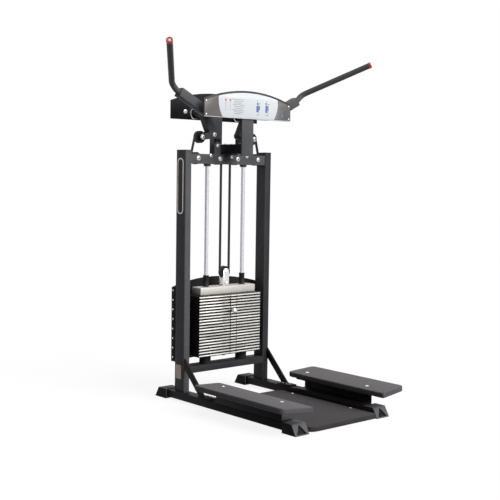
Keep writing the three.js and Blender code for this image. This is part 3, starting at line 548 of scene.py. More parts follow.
def linked(name: str, data: bpy.types.ID) -> Piece:
    """Puts new data into the scene as an object.

    Args:
        name: Name of the object.
        data: Its mesh, curve, camera or lamp.

    Returns:
        The object.
    """
    piece = bpy.data.objects.new(name, data)
    bpy.context.scene.collection.objects.link(piece)
    return piece


def edit(piece: Piece, selection: str = "SELECT", mode: str = "FACE") -> None:
    """Enters edit mode on a piece.

    Args:
        piece: Object to edit.
        selection: SELECT or DESELECT for the whole mesh.
        mode: VERT, EDGE or FACE.
    """
    pick(piece)
    bpy.ops.object.mode_set(mode="EDIT")
    bpy.ops.mesh.select_mode(type=mode)
    bpy.ops.mesh.select_all(action=selection)


def leave() -> None:
    """Leaves edit mode."""
    bpy.ops.object.mode_set(mode="OBJECT")


def select_faces(piece: Piece, test: Callable[[Face], bool]) -> None:
    """Enters edit mode with the faces selected that pass a test.

    Args:
        piece: Object to edit.
        test: Says whether a face is wanted.
    """
    edit(piece, "DESELECT")
    leave()
    for face in [face for face in piece.data.polygons if test(face)]:
        face.select = True
    bpy.ops.object.mode_set(mode="EDIT")


def select_points(piece: Piece, wanted: Iterable[int]) -> None:
    """Enters edit mode with some points selected.

    Args:
        piece: Object to edit.
        wanted: Numbers of the points.
    """
    edit(piece, "DESELECT", "VERT")
    leave()
    for index in wanted:
        piece.data.vertices[index].select = True
    bpy.ops.object.mode_set(mode="EDIT")


def tidy(piece: Piece, distance: float = 0.000002) -> None:
    """Merges doubled points and turns the faces outwards.

    Args:
        piece: Object to mend.
        distance: Greatest distance between doubles.
    """
    edit(piece)
    bpy.ops.mesh.remove_doubles(threshold=distance)
    bpy.ops.mesh.normals_make_consistent(inside=False)
    leave()


def settle(piece: Piece) -> None:
    """Puts an object's place, turn and scale into its mesh."""
    pick(piece)
    bpy.ops.object.transform_apply(location=True, rotation=True, scale=True)


def apply_modifiers(piece: Piece) -> None:
    """Applies all modifiers of a piece in order."""
    pick(piece)
    for name in [modifier.name for modifier in piece.modifiers]:
        bpy.ops.object.modifier_apply(modifier=name)


def bevelled(piece: Piece, width: float, segments: int = 2, degrees: float = 30.0) -> None:
    """Rounds the sharp edges of a piece.

    Args:
        piece: Object to round.
        width: Width of the rounding.
        segments: Number of facets across it.
        degrees: Least angle of the edges that are rounded.
    """
    modifier = piece.modifiers.new("rounded_edges", "BEVEL")
    modifier.width = width
    modifier.segments = segments
    modifier.limit_method = "ANGLE"
    modifier.angle_limit = math.radians(degrees)
    modifier.use_clamp_overlap = True
    modifier.harden_normals = False
    apply_modifiers(piece)


def coated(piece: Piece, finish: Finish, degrees: float) -> None:
    """Gives a finished piece its shading and material.

    Args:
        piece: Finished piece.
        finish: Its finish.
        degrees: Greatest edge angle that is smoothed over.
    """
    pick(piece)
    bpy.ops.object.shade_smooth_by_angle(angle=math.radians(degrees))
    piece.data.materials.clear()
    piece.data.materials.append(finish.material())


def placed(
    piece: Piece,
    finish: Finish,
    body: Body,
    stands_for: str | None = None,
    degrees: float = 35.0,
) -> Piece:
    """Coats a finished piece and lets it ride on its body.

    Args:
        piece: Finished piece.
        finish: Its finish.
        body: Body that it rides on.
        stands_for: CAD node that it replaces.
        degrees: Greatest edge angle that is smoothed over.

    Returns:
        The piece.
    """
    coated(piece, finish, degrees)
    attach(piece, body.value)
    if stands_for is not None:
        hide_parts(stands_for)
    LOG.info("%s: %d faces on %s", piece.name, len(piece.data.polygons), body.value)
    return piece


def two_toned(piece: Piece, finish: Finish, test: Callable[[Face], bool]) -> None:
    """Gives the faces of a placed piece that pass a test a second finish.

    Args:
        piece: Placed piece.
        finish: Finish of the faces.
        test: Says whether a face gets it.
    """
    piece.data.materials.append(finish.material())
    for face in piece.data.polygons:
        if test(face):
            face.material_index = 1


def turned(
    name: str,
    profile: Rings,
    centre: Point,
    way: Point = Way.REAR.value,
    sides: int = 48,
    bored: bool = False,
) -> Piece:
    """Turns a profile round an axis, ring by ring.

    Args:
        name: Name of the piece.
        profile: Radius and place along the axis of each ring, in order.
        centre: Point that the places are measured from.
        way: Direction that the piece points along.
        sides: Facets round it.
        bored: Whether its middle stays open at both ends, for a rod or shaft that fills it.

    Returns:
        The turned piece, not yet placed.
    """
    clear_selection()
    radius, place = profile[0]
    bpy.ops.mesh.primitive_circle_add(
        vertices=sides, radius=radius, fill_type="NOTHING" if bored else "NGON", location=ORIGIN
    )
    piece = named(name)
    edit(piece, mode="VERT")
    bpy.ops.transform.translate(value=(0.0, 0.0, place))
    leave()
    edit(piece, mode="EDGE" if bored else "FACE")
    for next_radius, next_place in profile[1:]:
        bpy.ops.mesh.extrude_region_move(
            TRANSFORM_OT_translate={"value": (0.0, 0.0, next_place - place)}
        )
        share = next_radius / radius
        bpy.ops.transform.resize(
            value=(share, share, 1.0), center_override=(0.0, 0.0, next_place)
        )
        radius, place = next_radius, next_place
    leave()
    tidy(piece)
    piece.rotation_euler = Vector(way).to_track_quat("Z", "Y").to_euler()
    piece.location = centre
    settle(piece)
    return piece


def copied(piece: Piece, name: str, shift: Point) -> Piece:
    """Copies a piece with a mesh of its own and moves the copy.

    Args:
        piece: Piece to copy, not yet placed.
        name: Name of the copy.
        shift: Way from the piece to the copy.

    Returns:
        The copy.
    """
    pick(piece)
    bpy.ops.object.duplicate(linked=False)
    twin = named(name)
    twin.location = shift
    settle(twin)
    return twin


def joined(pieces: Sequence[Piece], name: str) -> Piece:
    """Joins several meshes to one piece.

    Args:
        pieces: Pieces to join.
        name: Name of the whole.

    Returns:
        The joined piece.
    """
    pick(pieces[0])
    for piece in pieces[1:]:
        piece.select_set(True)
    if len(pieces) > 1:
        bpy.ops.object.join()
    return named(name)


def from_node(
    node: str, name: str, merge: float = 0.000005, flat: float = math.radians(0.6)
) -> Piece:
    """Copies a CAD node and merges its loose triangles to clean faces.

    Args:
        node: Name of the node.
        name: Name of the copy.
        merge: Greatest distance between doubled points.
        flat: Greatest angle between triangles that become one face.

    Returns:
        The copy, not yet placed.
    """
    piece = linked(name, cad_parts[node].data.copy())
    piece.data.name = name
    pick(piece)
    bpy.ops.mesh.customdata_custom_splitnormals_clear()
    edit(piece)
    bpy.ops.mesh.remove_doubles(threshold=merge)
    bpy.ops.mesh.dissolve_limited(angle_limit=flat)
    leave()
    return piece


def polyline(name: str, points: Sequence[Point], dimensions: str, ring: bool) -> bpy.types.Curve:
    """Makes a curve of straight stretches.

    Args:
        name: Name of the curve.
        points: Its points.
        dimensions: 2D for a flat filled curve, 3D for any other.
        ring: Whether its end meets its start.

    Returns:
        The curve's data.
    """
    curve = bpy.data.curves.new(name, "CURVE")
    curve.dimensions = dimensions
    line = curve.splines.new("POLY")
    line.points.add(len(points) - 1)
    line.use_cyclic_u = ring
    for spot, point in zip(line.points, points):
        spot.co = (*point, 1.0)
    return curve


def meshed(name: str, curve: bpy.types.Curve) -> Piece:
    """Turns a curve into a mesh in the scene.

    Args:
        name: Name of the mesh.
        curve: The curve's data.

    Returns:
        The mesh, not yet placed.
    """
    pick(linked(name, curve))
    bpy.ops.object.convert(target="MESH")
    return named(name)


def along(name: str, points: Sequence[Point], radius: float, resolution: int) -> Piece:
    """Models a round tube along a line of points.

    Args:
        name: Name of the piece.
        points: Points of its centre line.
        radius: Its radius.
        resolution: Fineness of its section.

    Returns:
        The mesh, not yet placed.
    """
    curve = polyline(name, points, "3D", ring=False)
    curve.bevel_depth = radius
    curve.bevel_resolution = resolution
    curve.use_fill_caps = True
    piece = meshed(name, curve)
    tidy(piece)
    return piece


def ribbon(
    name: str, points: Rings, sides: Pair, thickness: float, crown: float = 0.0006
) -> Piece:
    """Models a flat belt along a line in the XZ plane, with rounded edges.

    Args:
        name: Name of the piece.
        points: X and Z of its middle line.
        sides: Y of its front and rear edge.
        thickness: Its thickness.
        crown: Rounding of its edges.

    Returns:
        The belt, not yet placed.
    """
    clear_selection()
    bpy.ops.mesh.primitive_plane_add(size=1.0)
    piece = named(name)
    edit(piece, mode="VERT")
    bpy.ops.mesh.merge(type="CENTER")
    bpy.ops.transform.translate(value=(points[0][0], sides[0], points[0][1]))
    for before, after in zip(points, points[1:]):
        bpy.ops.mesh.extrude_region_move(
            TRANSFORM_OT_translate={"value": (after[0] - before[0], 0.0, after[1] - before[1])}
        )
    bpy.ops.mesh.select_all(action="SELECT")
    bpy.ops.mesh.select_mode(type="EDGE")
    bpy.ops.mesh.select_all(action="SELECT")
    bpy.ops.mesh.extrude_region_move(
        TRANSFORM_OT_translate={"value": (0.0, sides[1] - sides[0], 0.0)}
    )
    leave()
    tidy(piece, distance=0.0000005)
    solid = piece.modifiers.new("thickness", "SOLIDIFY")
    solid.thickness = thickness
    solid.offset = 0.0
    solid.use_even_offset = True
    apply_modifiers(piece)
    bevelled(piece, crown, degrees=60.0)
    return piece


def even(low: float, high: float, steps: int) -> list[float]:
    """Divides a span evenly.

    Args:
        low: Where it begins.
        high: Where it ends.
        steps: Number of steps.

    Returns:
        Both ends and what lies between them.
    """
    return [low + (high - low) * i / steps for i in range(steps + 1)]


def arc(centre: Pair, radius: float, start: float, end: float, steps: int) -> list[Pair]:
    """Lists points on an arc in the XZ plane.

    Args:
        centre: X and Z of its centre.
        radius: Its radius.
        start: First angle in radians.
        end: Last angle in radians.
        steps: Number of steps.

    Returns:
        X and Z of each point.
    """
    x, z = centre
    return [
        (x + radius * math.cos(turn), z + radius * math.sin(turn))
        for turn in even(start, end, steps)
    ]


def outlined(
    name: str, outline: Rings, front: float, thickness: float, rounding: float = 0.0003
) -> Piece:
    """Models a thin plate from an outline in the XZ plane.

    Args:
        name: Name of the piece.
        outline: X and Z of its corners, in order.
        front: Y of its front face.
        thickness: Its thickness, towards +Y.
        rounding: Rounding of its edges.

    Returns:
        The plate, not yet placed.
    """
    curve = polyline(name, [(x, z, 0.0) for x, z in outline], "2D", ring=True)
    curve.fill_mode = "BOTH"
    curve.extrude = thickness / 2 - rounding
    curve.bevel_depth = rounding
    curve.bevel_resolution = 1
    curve.offset = -rounding
    piece = meshed(name, curve)
    piece.rotation_euler = (math.pi / 2, 0.0, 0.0)
    piece.location = (0.0, front + thickness / 2, 0.0)
    settle(piece)
    tidy(piece)
    return piece


def depth(y: float) -> float:
    """Gives the Y of a place by its depth behind the uprights' front face."""
    return UPRIGHT_FACE_Y + y


# Parts of a tile's round corner; depth and edge rounding of printed marks.
CORNER_STEPS = 6
MARK_SUNK = 0.0002
MARK_EDGE = 0.0001


@dataclass(frozen=True)
class Tile:
    """A flat rectangle with round corners in the XZ plane.

    Attributes:
        x: Its middle across.
        z: Its middle height.
        width: Its width.
        height: Its height.
        radius: Radius of its corners.
    """

    x: float
    z: float
    width: float
    height: float
    radius: float

    def moved(self, x: float) -> "Tile":
        """Gives the same rectangle, moved across."""
        return replace(self, x=self.x + x)

    def outline(self) -> list[Pair]:
        """Lists the X and Z of its outline, anticlockwise."""
        right, top = self.width / 2 - self.radius, self.height / 2 - self.radius
        corners = ((right, top), (-right, top), (-right, -top), (right, -top))
        points: list[Pair] = []
        for count, (x, z) in enumerate(corners):
            start = count * math.pi / 2
            end = start + math.pi / 2
            points += arc((self.x + x, self.z + z), self.radius, start, end, CORNER_STEPS)
        return points


def printed(name: str, tiles: Iterable[Tile], face: float, proud: float = 0.0002) -> Piece:
    """Models printed marks of one colour on a front face.

    Args:
        name: Name of the piece.
        tiles: The marks.
        face: Y of the face that they lie on.
        proud: Thickness that shows.

    Returns:
        The marks as one piece, not yet placed.
    """
    marks = [
        outlined(
            f"{name}_{count}", tile.outline(), face - proud, proud + MARK_SUNK, MARK_EDGE
        )
        for count, tile in enumerate(tiles)
    ]
    return joined(marks, name)


# Structure carried over from the CAD model


@dataclass(frozen=True)
class Carried:
    """One CAD node whose own shape is rounded and painted.

    Attributes:
        node: Name of the node.
        finish: Its finish.
        body: Body that it rides on.
        rounding: Radius of its sharp edges.
        other: Finish of the faces that don't lie flat, if it has one.
    """

    node: str
    finish: Finish
    body: Body = Body.FRAME
    rounding: float = 0.0008
    other: Finish | None = None

    def build(self) -> Piece:
        """Copies the node, rounds its edges and places it.

        Returns:
            The placed piece.
        """
        piece = from_node(self.node, f"{self.node}_skin")
        bevelled(piece, self.rounding, degrees=40.0)
        placed(piece, self.finish, self.body, self.node)
        if self.other is not None:
            two_toned(piece, self.other, lambda face: abs(face.normal.z) < SQUARE)
        return piece


@dataclass
class Structure:
    """Welded frame, shroud and plates, as the CAD model has them.

    Attributes:
        post: Rounding of the head posts.
        shroud: Rounding of the rear shroud.
        platform: Rounding of the low platform.
        step: Rounding of the step boards, their supports and the stop blocks.
        arm: Rounding of the arms.
        front_turn: Least part of a normal to the front at which the right upright's front face
            gets painted shade.
    """

    post: float = 0.0015
    shroud: float = 0.0006
    platform: float = 0.0025
    step: float = 0.0015
    arm: float = 0.0012
    front_turn: float = 0.9

    def parts(self) -> list[Carried]:
        """Lists the nodes that keep their CAD shape.

        Returns:
            The nodes with their finishes.
        """
        plain = [
            Carried("lower_crossbar", DARK_COAT_AND_SHADE), Carried("beam_front_plate", CHARCOAL),
            Carried("beam_rear_plate", CHARCOAL), Carried("head_cross_member", BLACK_COAT),
            Carried("head_post_front", CHARCOAL, rounding=self.post),
            Carried("head_post_rear", CHARCOAL, rounding=self.post),
            Carried("head_front_panel", SIGN_RIM), Carried("head_rear_panel", BLACK_COAT),
            Carried("rear_shroud", BLACK_COAT, rounding=self.shroud),
            # The platform's dark skin is painted shade.
            Carried("low_platform", SHADED_PLATFORM_SKIN, rounding=self.platform, other=PLATFORM_EDGE),
        ]
        for side in Side:
            plain += [
                Carried(f"upright_{side.word}", CHARCOAL),
                Carried(f"runner_{side.word}", BLACK_COAT),
                Carried(f"brace_{side.word}", BLACK_COAT),
                Carried(f"step_support_{side.word}", BLACK_COAT, rounding=self.step),
                Carried(
                    f"step_board_{side.word}", STEP_SKIN, rounding=self.step, other=STEP_EDGE
                ),
                Carried(f"stop_block_{side.word}", RUBBER_AND_FOOT_SHADE, rounding=self.step),
                Carried(f"arm_{side.word}", CHARCOAL, side.arm, rounding=self.arm),
            ]
        return plain

    def build(self) -> None:
        """Builds and places every carried-over piece."""
        for part in self.parts():
            piece = part.build()
            # The right upright's front face is painted darker as shade, though it has the left
            # upright's paint.
            if part.node == "upright_right":
                two_toned(piece, DARK_COAT_AND_SHADE, lambda face: face.normal.y < -self.front_turn)


# Fasteners


@dataclass(frozen=True)
class BoltRow:
    """Bolts or screws of one size that make one piece.

    Attributes:
        name: Name of the piece.
        spots: Middle of each bolt on its seat.
        radius: Radius of the heads.
        height: Height of the heads.
        way: Direction that the heads point to.
        body: Body that they ride on.
    """

    name: str
    spots: Sequence[Point]
    radius: float
    height: float
    way: Point = Way.FRONT.value
    body: Body = Body.FRAME


@dataclass
class BoltMaker:
    """Domed socket bolts with washers, each copied from one model.

    Attributes:
        sides: Facets round a bolt.
        sunk: Depth of the washer's underside below the seat.
        rings: Radius and place of each ring, as shares of the head's radius and height.
        smooth: Greatest edge angle that is smoothed over.
        made: Models by radius, height and direction.
    """

    sides: int = 28
    sunk: float = 0.0005
    rings: Rings = (
        (1.08, 0.24), (0.94, 0.252), (0.94, 0.50), (0.88, 0.72), (0.76, 0.88), (0.60, 0.97),
        (0.48, 1.00), (0.44, 0.52),
    )
    smooth: float = 40.0
    made: dict[tuple[float, float, Point], Piece] = field(default_factory=dict)

    def model(self, row: BoltRow) -> Piece:
        """Models one bolt of a row at the origin, or finds one of its size and direction.

        Args:
            row: The row.

        Returns:
            The bolt, not yet placed.
        """
        key = (row.radius, row.height, row.way)
        if key not in self.made:
            profile = [(self.rings[0][0] * row.radius, -self.sunk)]
            profile += [(r * row.radius, z * row.height) for r, z in self.rings]
            self.made[key] = turned("bolt_model", profile, ORIGIN, row.way, self.sides)
        return self.made[key]

    def build(self, rows: Sequence[BoltRow]) -> None:
        """Builds rows of bolts, each as one placed piece, and removes the models.

        Args:
            rows: The rows.
        """
        for row in rows:
            model = self.model(row)
            copies = [copied(model, f"{row.name}_{i}", spot) for i, spot in enumerate(row.spots)]
            placed(joined(copies, row.name), BOLT_STEEL, row.body, degrees=self.smooth)
        for bolt in self.made.values():
            bpy.data.objects.remove(bolt)
        self.made.clear()


def seats(spots: Iterable[Pair], y: float) -> list[Point]:
    """Lists places that face the front or the rear.

    Args:
        spots: X and Z of each place.
        y: Their common Y.

    Returns:
        The places.
    """
    return [(x, y, z) for x, z in spots]


def grid(half_x: float, depths: Iterable[float], z: float) -> list[Point]:
    """Lists places on both sides of the middle, at one height.

    Args:
        half_x: Distance from the middle.
        depths: Depths from the uprights' front face.
        z: The height.

    Returns:
        The places, those on the left first.
    """
    return [(side.value * half_x, depth(y), z) for side in Side for y in depths]


@dataclass
class Fasteners:
    """Visible bolts and screws of the machine. Depths count from the uprights' front face.

    Attributes:
        large: Radius of the heads on the axles.
        small: Radius of the other bolt heads.
        brace: Radius of the heads on the braces' foot plates.
        head: Height of the bolt heads.
        screw: Radius of the flush screws in boards and platform.
        screw_head: Height of the platform's screws.
        board_head: Height of the boards' screws.
        panel_screw: Radius of the shroud's screws.
        panel_head: Height of the shroud's screws.
        beam: Depths of the beam's front and rear faces.
        spacers: X and Z of the beam's spacers.
        ears: X and Z of the bolts in the front plate's ears.
        lever: Depths of the levers' front and rear faces.
        lever_bolt: X and Z of the bolt beside the drum, from the pivot.
        feet: Half distance, depths and height of the bolts on the braces' foot plates.
        member: Half distance and depths of the bolts on the head's cross member.
        member_sunk: Depth of these bolts' seats below its top.
        panel: Half distance, depth and height of the rear panel's bolts.
        platform: Half distance, depths and height of the platform's screws.
        bracket_z: Height of the pulley bracket's bolt.
        bracket_sunk: Depth of its seat below the bracket's face.
        board_tilt: Slope of the boards' tops.
        board_x: X of the boards' screws.
        board_low: Height of the boards' tops at their inner edges.
        board_in: Distance of the screws from the inner edges.
        board_depths: Depths of the boards' screws.
        shroud_depth: Depth of the shroud's screws.
        shroud_low: Height of the lowest shroud screw.
        shroud_pitch: Distance from one shroud screw to the next.
        shroud_count: Number of shroud screws on a side.
    """

    large: float = 0.0115
    small: float = 0.0085
    brace: float = 0.0066
    head: float = 0.0060
    screw: float = 0.0092
    screw_head: float = 0.0018
    board_head: float = 0.0020
    panel_screw: float = 0.0042
    panel_head: float = 0.0026
    beam: Pair = (0.008, 0.072)
    spacers: Rings = ((-0.1265, 1.302), (0.018, 1.298), (0.1265, 1.302))
    ears: Rings = ((-0.080, 1.355), (0.080, 1.355))
    lever: Pair = (0.010, 0.066)
    lever_bolt: Pair = (-0.050, -0.112)
    feet: Places = (0.270, (-0.213, -0.187, -0.161), 0.055)
    member: tuple[float, Pair] = (0.020, (0.011, 0.069))
    member_sunk: float = 0.005
    panel: Places = (0.208, (0.128,), 1.533)
    platform: Places = (0.220, (-0.290, -0.717), 0.0275)
    bracket_z: float = 0.612
    bracket_sunk: float = 0.0002
    board_tilt: float = math.atan2(12.6, 182.0)
    board_x: float = 0.295
    board_low: float = 0.1346
    board_in: float = 0.055
    board_depths: Pair = (-0.324, -0.758)
    shroud_depth: float = 0.0985
    shroud_low: float = 0.2255
    shroud_pitch: float = 0.0513
    shroud_count: int = 8

    def on_beam(self) -> list[BoltRow]:
        """Lists the bolts and nuts of the beam."""
        axles = [
            (x, OUTER_AXLE[1])
            for x in (-OUTER_AXLE[0], -INNER_AXLE[0], INNER_AXLE[0], OUTER_AXLE[0])
        ]
        front, rear = (depth(y) for y in self.beam)
        heads = seats((*self.spacers, *self.ears), front)
        nuts = seats(self.spacers, rear)
        behind = Way.REAR.value
        return [
            BoltRow("beam_axle_bolts_front", seats(axles, front), self.large, self.head),
            BoltRow("beam_axle_nuts_rear", seats(axles, rear), self.large, self.head, behind),
            BoltRow("beam_spacer_bolts_front", heads, self.small, self.head),
            BoltRow("beam_spacer_nuts_rear", nuts, self.small, self.head, behind),
        ]

    def on_arm(self, side: Side) -> list[BoltRow]:
        """Lists the bolts on both faces of an arm's lever.

        Args:
            side: Side of the machine.

        Returns:
            The rows of both faces.
        """
        x, z = PIVOT_X + self.lever_bolt[0], PIVOT_Z + self.lever_bolt[1]
        spots = [(side.value * x, z), (side.value * DRUM_AXLE[0], DRUM_AXLE[1])]
        return [
            BoltRow(
                f"lever_bolts_{end}_{side.word}", seats(spots, depth(y)), self.large, self.head,
                way.value, side.arm,
            )
            for end, y, way in zip(("front", "rear"), self.lever, (Way.FRONT, Way.REAR))
        ]

    def on_frame(self) -> list[BoltRow]:
        """Lists the other bolts of frame and stack, and the platform's screws."""
        member = grid(*self.member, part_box("head_cross_member")[1].z - self.member_sunk)
        bracket = (0.0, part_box("pulley_bracket")[0].y + self.bracket_sunk, self.bracket_z)
        platform = grid(*self.platform)
        up = Way.UP.value
        return [
            BoltRow("brace_bolts", grid(*self.feet), self.brace, self.head, up),
            BoltRow("cross_member_bolts", member, self.small, self.head, up),
            BoltRow("rear_panel_bolts", grid(*self.panel), self.large, self.head),
            BoltRow("pulley_bracket_bolt", [bracket], self.small, self.head, body=Body.STACK),
            BoltRow("platform_screws", platform, self.screw, self.screw_head, up),
        ]

    def on_side(self, side: Side) -> list[BoltRow]:
        """Lists the screws of a step board and of the shroud's side.

        Args:
            side: Side of the machine.

        Returns:
            The rows of the board and the shroud.
        """
        s, tilt = side.value, self.board_tilt
        z = self.board_low + self.board_in * math.tan(tilt)
        board = [(s * self.board_x, depth(y), z) for y in self.board_depths]
        heights = (self.shroud_low + self.shroud_pitch * i for i in range(self.shroud_count))
        shroud = [(s * UPRIGHT_SIDE_X, depth(self.shroud_depth), height) for height in heights]
        return [
            BoltRow(
                f"board_screws_{side.word}", board, self.screw, self.board_head,
                (-s * math.sin(tilt), 0.0, math.cos(tilt)),
            ),
            BoltRow(
                f"shroud_screws_{side.word}", shroud, self.panel_screw, self.panel_head,
                side.outward,
            ),
        ]

    def build(self) -> None:
        """Builds every row of fasteners."""
        rows = self.on_beam() + self.on_arm(Side.LEFT) + self.on_arm(Side.RIGHT)
        rows += self.on_frame() + self.on_side(Side.LEFT) + self.on_side(Side.RIGHT)
        BoltMaker().build(rows)


# Belts and pulleys


@dataclass
class Pulleys:
    """Grooved nylon pulleys on the beam, the arms and the stack.

    Attributes:
        flange: Radius of the flanges.
        groove: Radius of the groove.
        slope: Height of the groove's sloped corners.
        half_width: Half the width of a pulley.
        bore: Radius of the bore.
        hub: Radius of the hub.
        rim: Radius where the rim begins.
        web: Depth of the hollow between hub and rim.
        edge: Size of the broken edges.
        sides: Facets round a pulley.
        smooth: Greatest edge angle that is smoothed over.
    """

    flange: float = 0.0325
    groove: float = 0.029
    slope: float = 0.0008
    half_width: float = 0.011
    bore: float = 0.0063
    hub: float = 0.0118
    rim: float = 0.0248
    web: float = 0.0032
    edge: float = 0.0003
    sides: int = 56
    smooth: float = 30.0

    def profile(self) -> list[Pair]:
        """Lists the rings of a pulley with hollowed webs.

        Returns:
            Radius and place of each ring.
        """
        w, edge, floor = self.half_width, self.edge, self.half_width - self.web
        half = [
            (self.bore, w), (self.hub, w), (self.hub + 2 * edge, w - edge),
            (self.hub + 4 * edge, floor), (self.rim - 4 * edge, floor),
            (self.rim - 2 * edge, w - edge), (self.rim, w), (self.flange - edge, w),
            (self.flange, w - edge), (self.flange, w - 4 * edge),
            (self.groove + self.slope, w - 6 * edge), (self.groove, w - 8 * edge),
        ]
        return [(r, -y) for r, y in half] + [(r, y) for r, y in reversed(half)]

    def build(self) -> None:
        """Builds every pulley on its own body."""
        spots = (
            ("beam_pulley_outer_left", Side.LEFT, OUTER_AXLE, Body.OUTER_LEFT),
            ("beam_pulley_inner_left", Side.LEFT, INNER_AXLE, Body.INNER_LEFT),
            ("beam_pulley_inner_right", Side.RIGHT, INNER_AXLE, Body.INNER_RIGHT),
            ("beam_pulley_outer_right", Side.RIGHT, OUTER_AXLE, Body.OUTER_RIGHT),
            ("belt_drum_left", Side.LEFT, DRUM_AXLE, Body.LEFT_ARM),
            ("belt_drum_right", Side.RIGHT, DRUM_AXLE, Body.RIGHT_ARM),
            ("moving_pulley", Side.RIGHT, STACK_AXLE, Body.STACK_PULLEY),
        )
        model = turned("pulley_model", self.profile(), ORIGIN, sides=self.sides, bored=True)
        for node, side, (x, z), body in spots:
            pulley = copied(model, f"{node}_wheel", (side.value * x, BELT_Y, z))
            placed(pulley, NYLON, body, node, self.smooth)
        bpy.data.objects.remove(model)


@dataclass
class Belts:
    """Flat belt from one arm over the beam to the stack and back to the other arm.

    Attributes:
        thickness: Thickness of the belt.
        width: Width of the belt.
        radius: Radius of its middle line on the pulleys.
        loop_top: Height where the loop of the stack begins.
        wrap: Angle of the belt on the drum.
        fold: Greatest edge angle that is smoothed over.
        straight_steps: Parts of a straight stretch.
        outer_steps: Parts of the arc on an outer pulley.
        inner_steps: Parts of the arc on an inner pulley.
        wrap_steps: Parts of the arc on a drum.
        loop_steps: Parts of the arc under the moving pulley.
    """

    thickness: float = 0.003
    width: float = 0.0184
    radius: float = 0.031
    loop_top: float = 0.733
    wrap: float = math.radians(190)
    fold: float = 50.0
    straight_steps: int = 26
    outer_steps: int = 30
    inner_steps: int = 26
    wrap_steps: int = 36
    loop_steps: int = 40

    @property
    def free_side(self) -> float:
        """Angle at which the belt leaves the outer pulley for the drum."""
        return math.atan2(OUTER_AXLE[0] - DRUM_AXLE[0], DRUM_AXLE[1] - OUTER_AXLE[1])

    def leaving(self, axle: Pair) -> Pair:
        """Gives the point of a wheel at which the belt runs free.

        Args:
            axle: X and Z of the wheel's middle.

        Returns:
            X and Z of the point.
        """
        return arc(axle, self.radius, self.free_side, self.free_side, 1)[0]

    def strip(self, name: str, points: Rings, side: Side) -> Piece:
        """Models one stretch of belt, mirrored for the left side.

        Args:
            name: Name of the piece.
            points: X and Z of the middle line on the right side.
            side: Side of the machine.

        Returns:
            The stretch, not yet placed.
        """
        line = [(side.value * x, z) for x, z in points]
        half = self.width / 2
        return ribbon(name, line, (BELT_Y - half, BELT_Y + half), self.thickness)

    def straight(self, name: str, start: Pair, end: Pair, side: Side) -> None:
        """Builds a straight stretch that reaches from the frame to another body, fixed in place on
        neither.

        Args:
            name: Name of the piece.
            start: X and Z on the right side of its end at the frame.
            end: X and Z on the right side of its end at the other body.
            side: Side of the machine.
        """
        steps = self.straight_steps
        points = list(zip(even(start[0], end[0], steps), even(start[1], end[1], steps)))
        piece = self.strip(name, points, side)
        coated(piece, BELT, self.fold)
        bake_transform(piece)

    def build(self) -> None:
        """Builds all stretches of the belt."""
        quarter, free = math.pi / 2, self.free_side
        lean = math.asin(2 * self.radius / (OUTER_AXLE[0] - INNER_AXLE[0]))
        drop_x = INNER_AXLE[0] - self.radius
        for side in Side:
            word = side.word
            guide = arc(OUTER_AXLE, self.radius, free, -quarter - lean, self.outer_steps)
            guide += arc(INNER_AXLE, self.radius, quarter - lean, math.pi, self.inner_steps)
            strip = self.strip(f"belt_guide_{word}", guide, side)
            placed(strip, BELT, Body.FRAME, f"belt_{word}", self.fold)
            self.straight(
                f"belt_fall_{word}", (drop_x, INNER_AXLE[1]), (drop_x, self.loop_top), side,
            )
            self.straight(
                f"belt_rise_{word}", self.leaving(OUTER_AXLE), self.leaving(DRUM_AXLE), side,
            )
            wrap = arc(DRUM_AXLE, self.radius, free, free + self.wrap, self.wrap_steps)
            strip = self.strip(f"belt_wrap_{word}", wrap, side)
            placed(strip, BELT, side.arm, f"belt_end_{word}", self.fold)
        loop = [(self.radius, self.loop_top)]
        loop += arc(STACK_AXLE, self.radius, 0.0, -math.pi, self.loop_steps)
        loop.append((-self.radius, self.loop_top))
        strip = self.strip("belt_loop_strip", loop, Side.RIGHT)
        placed(strip, BELT, Body.STACK, "belt_loop", self.fold)


# Weight stack


@dataclass(frozen=True)
class RodPart:
    """One kind of turned piece on the guide rods.

    Attributes:
        node: Node that it replaces, without the side's word.
        kind: Last word of its own name.
        finish: Its finish.
        body: Body that it rides on.
        foot: Radius of each lower ring and its distance from the lower end.
        head: Radius of each upper ring and its distance from the upper end.
        bored: Whether the rod goes through it.
    """

    node: str
    kind: str
    finish: Finish
    body: Body
    foot: Rings
    head: Rings
    bored: bool = True

    def build(self, side: Side, x: float) -> None:
        """Builds and places the piece of one side.

        Args:
            side: Side of the machine.
            x: X of the rod.
        """
        node = f"{self.node}_{side.word}"
        low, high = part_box(node)
        profile = [(r, low.z + up) for r, up in self.foot]
        profile += [(r, high.z - down) for r, down in self.head]
        name, centre = f"{node}_{self.kind}", (x, BELT_Y, 0.0)
        piece = turned(name, profile, centre, Way.UP.value, bored=self.bored)
        placed(piece, self.finish, self.body, node)


